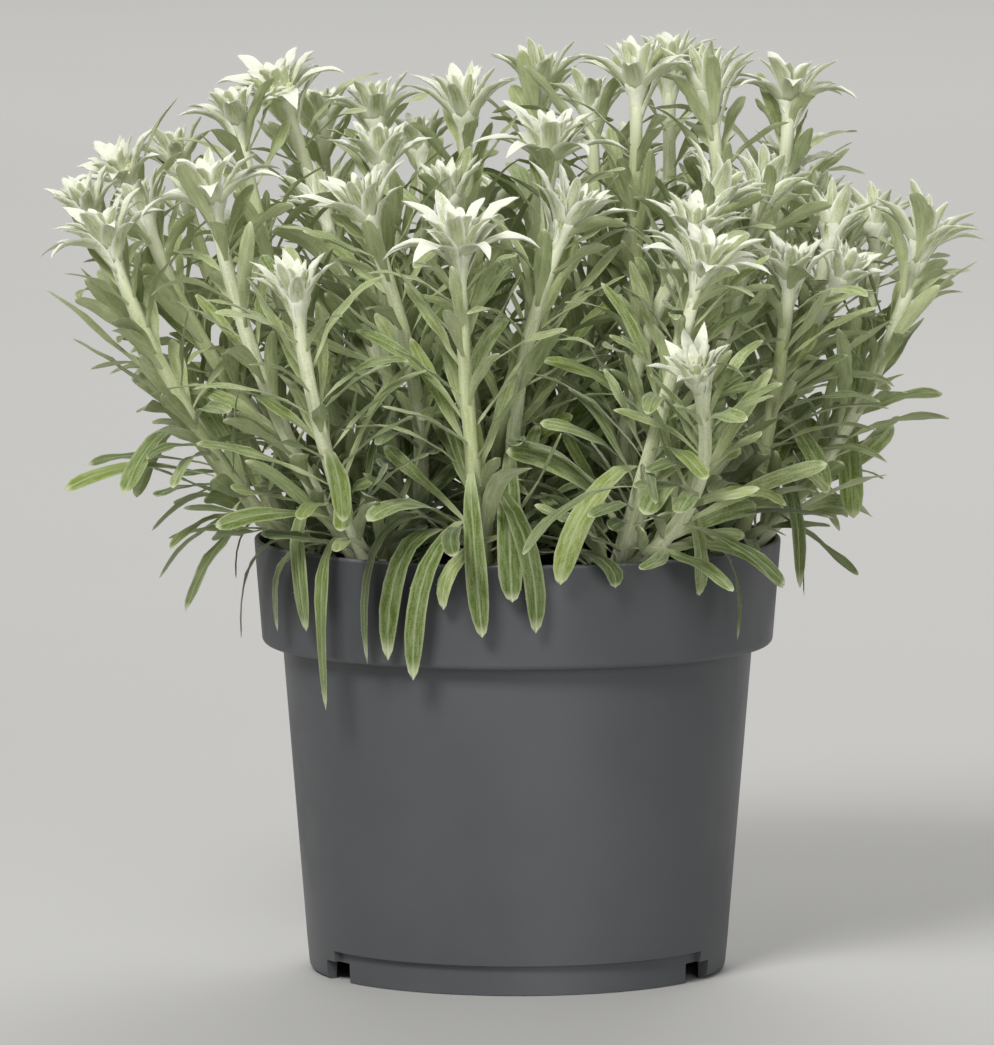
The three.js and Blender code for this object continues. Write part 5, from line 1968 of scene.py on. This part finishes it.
def arc(centre: Point, radius: float, start: float, end: float, steps: int = 5) -> list[Point]:
    """Points along an arc of a profile, between two angles in degrees."""
    angles = np.radians(np.linspace(start, end, steps))
    return [(centre[0] + radius * math.cos(a), centre[1] + radius * math.sin(a)) for a in angles]


def disc(centre: Point, radius: float, steps: int) -> list[Point]:
    """The outline of a disc."""
    return arc(centre, radius, 0, 360 - 360 / steps, steps)


def turned(name: str, profile: Sequence[Point], segments: int) -> Object:
    """Turn a profile that starts and ends on the axis into a closed form about Z.

    Args:
        name: The object's name.
        profile: Radius and height of each point, in millimetres.
        segments: How many steps go round.

    Returns:
        The new object, in metres.
    """
    rings = profile[1:-1]
    points = [(0, 0, profile[0][1]), (0, 0, profile[-1][1])]
    points += [(r * math.cos(a), r * math.sin(a), z) for r, z in rings for a in full_turn(segments)]
    faces = []
    for j in range(segments):
        after = (j + 1) % segments
        faces.append((0, 2 + after, 2 + j))
        last = 2 + (len(rings) - 1) * segments
        faces.append((1, last + j, last + after))
        for i in range(len(rings) - 1):
            low, high = 2 + i * segments, 2 + (i + 1) * segments
            faces.append((low + j, low + after, high + after, high + j))
    return mesh_object(name, points, faces)


def mesh_object(name: str, points: Iterable, faces: Iterable) -> Object:
    """A linked object from points in millimetres and faces."""
    mesh = bpy.data.meshes.new(name)
    mesh.from_pydata((np.array(points, float) * MM).tolist(), [], [tuple(map(int, face)) for face in faces])
    return linked(name, mesh)


def prism(outline: Sequence[Point], low: float, high: float) -> tuple[list, list]:
    """A prism's points and faces.

    Args:
        outline: Its outline, anticlockwise seen from above.
        low: The height of its base.
        high: The height of its top.

    Returns:
        The points and the faces.
    """
    n = len(outline)
    points = [(x, y, z) for z in (low, high) for x, y in outline]
    sides = [(i, (i + 1) % n, n + (i + 1) % n, n + i) for i in range(n)]
    return points, [tuple(reversed(range(n))), tuple(range(n, 2 * n)), *sides]


@dataclass
class Pot:
    """A round nursery pot with a collar, and a foot that is stepped in at front and back."""

    height: float = 99.0
    rim_radius: float = 60.0
    wall: float = 1.2
    rim_edge: float = 1.2
    lip_round: float = 0.45
    collar_foot: float = 74.9
    collar_radius: float = 58.3
    collar_round: float = 1.5
    collar_steps: int = 7
    neck_radius: float = 53.6
    body_foot_radius: float = 48.1
    body_foot_height: float = 7.0
    foot_radius: float = 47.6
    foot_round: float = 1.8
    foot_inner: float = 45.2
    floor: float = 6.0
    segments: int = 180
    step_radius: float = 46.5
    step_half_angle: float = 60.0
    step_points: int = 61
    step_azimuths: tuple = (-90, 90)
    cut_past: float = 2.0
    notch_width: float = 9.0
    notch_top: float = 8.0
    notch_height: float = 4.5
    notch_depth: float = 8.0
    notch_azimuths: tuple = (30, 150, 210, 330)
    drains: int = 6
    drain_radius: float = 4.5
    drain_ring: float = 30.0
    drain_points: int = 24
    sharp: float = 32.0

    def profile(self) -> list[Point]:
        """The pot's half section, from the middle of its underside round to the inside."""
        foot, collar, lip = self.foot_round, self.collar_round, self.lip_round
        shelf = self.collar_foot + self.wall
        inner = self.rim_radius - self.wall
        return [
            (0, self.floor),
            (self.foot_inner, self.floor),
            (self.foot_inner, 0),
            *arc((self.foot_radius - foot, foot), foot, -90, 0),
            (self.body_foot_radius, self.body_foot_height),
            (self.neck_radius, self.collar_foot),
            *arc((self.collar_radius - collar, self.collar_foot + collar), collar, -90, 0, self.collar_steps),
            (self.rim_radius, self.height - self.rim_edge),
            *arc((self.rim_radius - lip, self.height - lip), lip, 0, 90),
            *arc((inner + lip, self.height - lip), lip, 90, 180),
            (self.collar_radius - self.wall, shelf),
            (self.neck_radius - self.wall, shelf),
            (self.body_foot_radius - self.wall, self.floor + self.wall),
            (0, self.floor + self.wall),
        ]

    def cutters(self) -> list[tuple[list, list]]:
        """The step under the body, the notches in the foot and the drain holes."""
        cuts = []
        for azimuth in self.step_azimuths:
            start, end = azimuth - self.step_half_angle, azimuth + self.step_half_angle
            outline = arc((0, 0), self.rim_radius, start, end, self.step_points)
            outline += arc((0, 0), self.step_radius, end, start, self.step_points)
            cuts.append(prism(outline, -self.cut_past, self.body_foot_height))
        for azimuth in self.notch_azimuths:
            cuts.append(self.notch(azimuth))
        for i in range(self.drains):
            turn = 2 * math.pi * i / self.drains
            centre = (self.drain_ring * math.cos(turn), self.drain_ring * math.sin(turn))
            outline = disc(centre, self.drain_radius, self.drain_points)
            cuts.append(prism(outline, self.floor - self.cut_past, self.floor + self.wall + self.cut_past))
        return cuts

    def notch(self, azimuth: float) -> tuple[list, list]:
        """Shape a block that cuts one drain notch, narrower above, through the foot's wall.

        Args:
            azimuth: Where the notch is, in degrees.

        Returns:
            The points and the faces.
        """
        wide, narrow = self.notch_width / 2, self.notch_top / 2
        low, high = -self.cut_past, self.notch_height
        section = [(-wide, low), (wide, low), (narrow, high), (-narrow, high)]
        near = self.foot_inner - self.cut_past
        turn = math.radians(azimuth), math.radians(azimuth + 90)
        out, side = (np.array([math.cos(a), math.sin(a), 0]) for a in turn)
        points = [out * r + side * x + UP * z for r in (near, near + self.notch_depth) for x, z in section]
        _, faces = prism(section, 0, 1)
        return points, faces

    def build(self, finishes: Finishes) -> None:
        """Turn the pot, cut it and let it stand for the pot's node.

        Args:
            finishes: The object's finishes.
        """
        piece = turned("moulded_pot", self.profile(), self.segments)
        for points, faces in self.cutters():
            cutter = mesh_object("pot_cut", points, faces)
            cut = piece.modifiers.new("cut", "BOOLEAN")
            cut.object = cutter
            cut.solver = "MANIFOLD"
            made = bpy.data.meshes.new_from_object(piece.evaluated_get(bpy.context.evaluated_depsgraph_get()))
            piece.modifiers.clear()
            piece.data = made
            bpy.data.objects.remove(cutter)
        piece.data.name = piece.name
        piece.data.materials.clear()
        piece.data.materials.append(finishes.pot)
        piece.data.shade_smooth()
        piece.data.set_sharp_from_angle(angle=math.radians(self.sharp))
        place_piece(piece, "pot", Slot.POT)


@dataclass
class Compost:
    """Compost that fills the pot, with a plain round hole for each crown and loose crumbs."""

    skin: Skin = field(init=False)
    level: float = 93.0
    crown_rise: float = 1.0
    hole_radius: float = 6.9
    hole_depth: float = 18.0
    clearance: float = 0.3
    middle: float = 0.1
    rings: int = 72
    around: int = 200
    grain: float = 0.75
    # How close the waves are, in radians a millimetre, and their share of the grain
    swells: tuple = ((0.35, 0.4), (0.9, 0.35), (2.1, 0.25))
    waves: int = 6
    calm: float = 2.4
    crumbs: int = 700
    crumb_size: tuple[float, float] = (0.4, 1.5)
    crumb_heights: tuple[float, float] = (-0.2, 0.45)
    crumb_corners: int = 5
    crumb_rough: float = 0.1
    crumb_lift: float = 0.1
    spread: float = 55.0
    brim: float = 57.0
    seed: int = 900

    def build(self, finishes: Finishes) -> None:
        """Fill the pot and let the piece stand for the compost's node.

        Args:
            finishes: The object's finishes.
        """
        self.skin = Skin(self.seed)
        self.lay_body()
        self.lay_crumbs()
        place_piece(self.skin.build("crumbly_compost", [finishes.compost]), "soil", Slot.COMPOST)

    def lay_body(self) -> None:
        """Add the compost's closed body, rough above."""
        gap = self.clearance + Pot.wall
        shelf = Pot.collar_foot + gap
        share = (self.level - Pot.collar_foot) / (Pot.height - Pot.collar_foot)
        brim = blend(Pot.collar_radius, Pot.rim_radius, share) - gap
        below = [
            (self.middle, Pot.floor + gap),
            (Pot.body_foot_radius - gap, Pot.floor + gap),
            (Pot.neck_radius - gap, shelf),
            (Pot.collar_radius - gap, shelf),
        ]
        radius = np.array([r for r, _ in below] + list(np.linspace(brim, self.middle, self.rings)))
        height = np.array([z for _, z in below] + [self.level] * self.rings)
        ring = level_circle(full_turn(self.around))
        grid = radius[:, None, None] * ring + height[:, None, None] * UP
        top = grid[len(below) :]
        top[..., 2] += self.rise(top[..., 0], top[..., 1], brim)
        self.skin.tube(grid, blade_colours(grid.shape[:2]), grid, 0)

    def rise(self, x: Vec, y: Vec, brim: float) -> Vec:
        """Draw the surface, with the holes for the crowns.

        Args:
            x: Where each point is, to the right.
            y: Where each point is, to the back.
            brim: The surface's radius.

        Returns:
            How far each point stands above the brim's level.
        """
        rise = self.crown_rise * (1 - np.hypot(x, y) / brim)
        for scale, share in self.swells:
            waves = self.skin.rng.normal(0, scale, (self.waves, 2))
            phase = self.skin.rng.uniform(0, 2 * math.pi, self.waves)
            bumps = sum(np.sin(a * x + b * y + p) for (a, b), p in zip(waves, phase)) / self.calm
            rise = rise + self.grain * share * bumps
        for cx, cy in CROWNS:
            rise = np.where(np.hypot(x - cx, y - cy) < self.hole_radius, -self.hole_depth, rise)
        return rise

    def lay_crumbs(self) -> None:
        """Scatter small angular crumbs over the surface, clear of the crowns."""
        rng, shape = self.skin.rng, (2, self.crumb_corners, 1)
        for _ in range(self.crumbs):
            out, turn = self.spread * math.sqrt(rng.random()), rng.uniform(0, 2 * math.pi)
            x, y = out * math.cos(turn), out * math.sin(turn)
            size = rng.uniform(*self.crumb_size)
            if any(math.hypot(x - cx, y - cy) < self.hole_radius + size for cx, cy in CROWNS):
                continue
            ring = level_circle(full_turn(self.crumb_corners) + rng.uniform(0, 1))
            wide = size * rng.uniform(0.5, 1.0, shape)
            height = np.array(self.crumb_heights)[:, None, None] * size
            rise = self.crown_rise * (1 - out / self.brim)
            centre = np.array([x, y, self.level + rise + self.crumb_lift])
            grid = centre + ring * wide + (height + rng.normal(0, self.crumb_rough * size, shape)) * UP
            self.skin.tube(grid, blade_colours(shape[:2], tone=rng.random()), grid, 0)


@dataclass(frozen=True)
class SoftLight:
    """A square soft light: where it stands, its size in metres and its power in watts."""

    name: str
    place: tuple[float, float, float]
    size: float
    power: float
    target: tuple[float, float, float] = (0.0, 0.0, 0.1)


@dataclass
class Studio:
    """A pale floor, soft lights and the camera at the photograph's angle."""

    target: tuple[float, float, float] = (-0.00468, 0.0, 0.1022)
    eye: tuple[float, float, float] = (-0.00468, -2.5, 0.370)
    lens: float = 379.7
    sensor: float = 36.0
    far: float = 100.0
    floor_radius: float = 9.0
    floor_corners: int = 60
    floor_colour: str = "bfbebb"
    floor_mottle: float = 0.5
    floor_shade: float = 0.97
    floor_roughness: float = 0.85
    sky: float = 0.24
    lights: tuple[SoftLight, ...] = (
        SoftLight("key", (-0.7, -1.6, 1.5), 0.7, 38),
        SoftLight("fill", (0.8, -2.4, 0.5), 1.2, 18),
        SoftLight("back", (0.4, 1.2, 1.5), 0.9, 8),
        SoftLight("floor", (0, 3.2, 2.4), 2.6, 64, (0, 2.6, 0)),
    )

    def build(self) -> None:
        """Set up the floor, the lights and the camera."""
        outline = disc((0, 0), self.floor_radius / MM, self.floor_corners)
        floor = mesh_object("studio_floor", [(x, y, 0) for x, y in outline], [range(len(outline))])
        floor.data.materials.append(self.floor_material())
        floor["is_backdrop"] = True
        for light in self.lights:
            self.add_light(light)
        world = bpy.data.worlds.new("Studio")
        world.use_nodes = True
        world.node_tree.nodes["Background"].inputs["Color"].default_value = (1, 1, 1, 1)
        world.node_tree.nodes["Background"].inputs["Strength"].default_value = self.sky
        bpy.context.scene.world = world
        bpy.context.scene.view_settings.view_transform = "Standard"
        camera = linked("camera", bpy.data.cameras.new("camera"))
        camera.data.sensor_fit = "VERTICAL"
        camera.data.sensor_height = self.sensor
        camera.data.lens = self.lens
        camera.data.clip_end = self.far
        self.aim(camera, self.eye, self.target)
        bpy.context.scene.camera = camera

    @staticmethod
    def aim(made: Object, place: Sequence[float], target: Sequence[float]) -> None:
        """Stand an object at a place, turned to look at a target, both in metres."""
        made.location = place
        made.rotation_euler = (Vector(target) - Vector(place)).to_track_quat("-Z", "Y").to_euler()

    def add_light(self, light: SoftLight) -> None:
        """Add one soft light.

        Args:
            light: The light.
        """
        lamp = bpy.data.lights.new(light.name, "AREA")
        lamp.shape = "SQUARE"
        lamp.size = light.size
        lamp.energy = light.power
        self.aim(linked(light.name, lamp), light.place, light.target)

    def floor_material(self) -> Material:
        """Make the floor's material.

        Returns:
            A pale matt material.
        """
        material, graph, shader = new_material("Studio floor")
        place = graph.add("ShaderNodeTexCoord").outputs["Object"]
        mottle = graph.group(mottle_group(), {"Place": place, "Broad": 1.5, "Fine": 40.0}).outputs["Broad"]
        pale = paint(self.floor_colour)
        shade = (*(self.floor_shade * c for c in pale[:3]), 1.0)
        colour = graph.mix(graph.math("MULTIPLY", mottle, self.floor_mottle), pale, shade)
        graph.feed(shader, {"Base Color": colour, "Roughness": self.floor_roughness})
        return material


def write_sizes() -> None:
    boxes = {"cad": CAD_BOX, "visual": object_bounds()}
    plain = {name: [[float(c) for c in corner] for corner in box] for name, box in boxes.items()}


def main() -> None:
    """Build the studio, grow the plant and make every piece in order."""
    Studio().build()
    finishes = Finishes()
    Pot().build(finishes)
    Compost().build(finishes)
    plant = Plant()
    plant.grow()
    log.info("grown: %d leaves", sum(len(leaves) for leaves in plant.leaves.values()))
    for crown in plant.crowns:
        Clump(plant, crown).build(finishes)
    for head in plant.heads:
        FineHead(head).build(finishes)
    write_sizes()


if __name__ == "__main__":
    main()
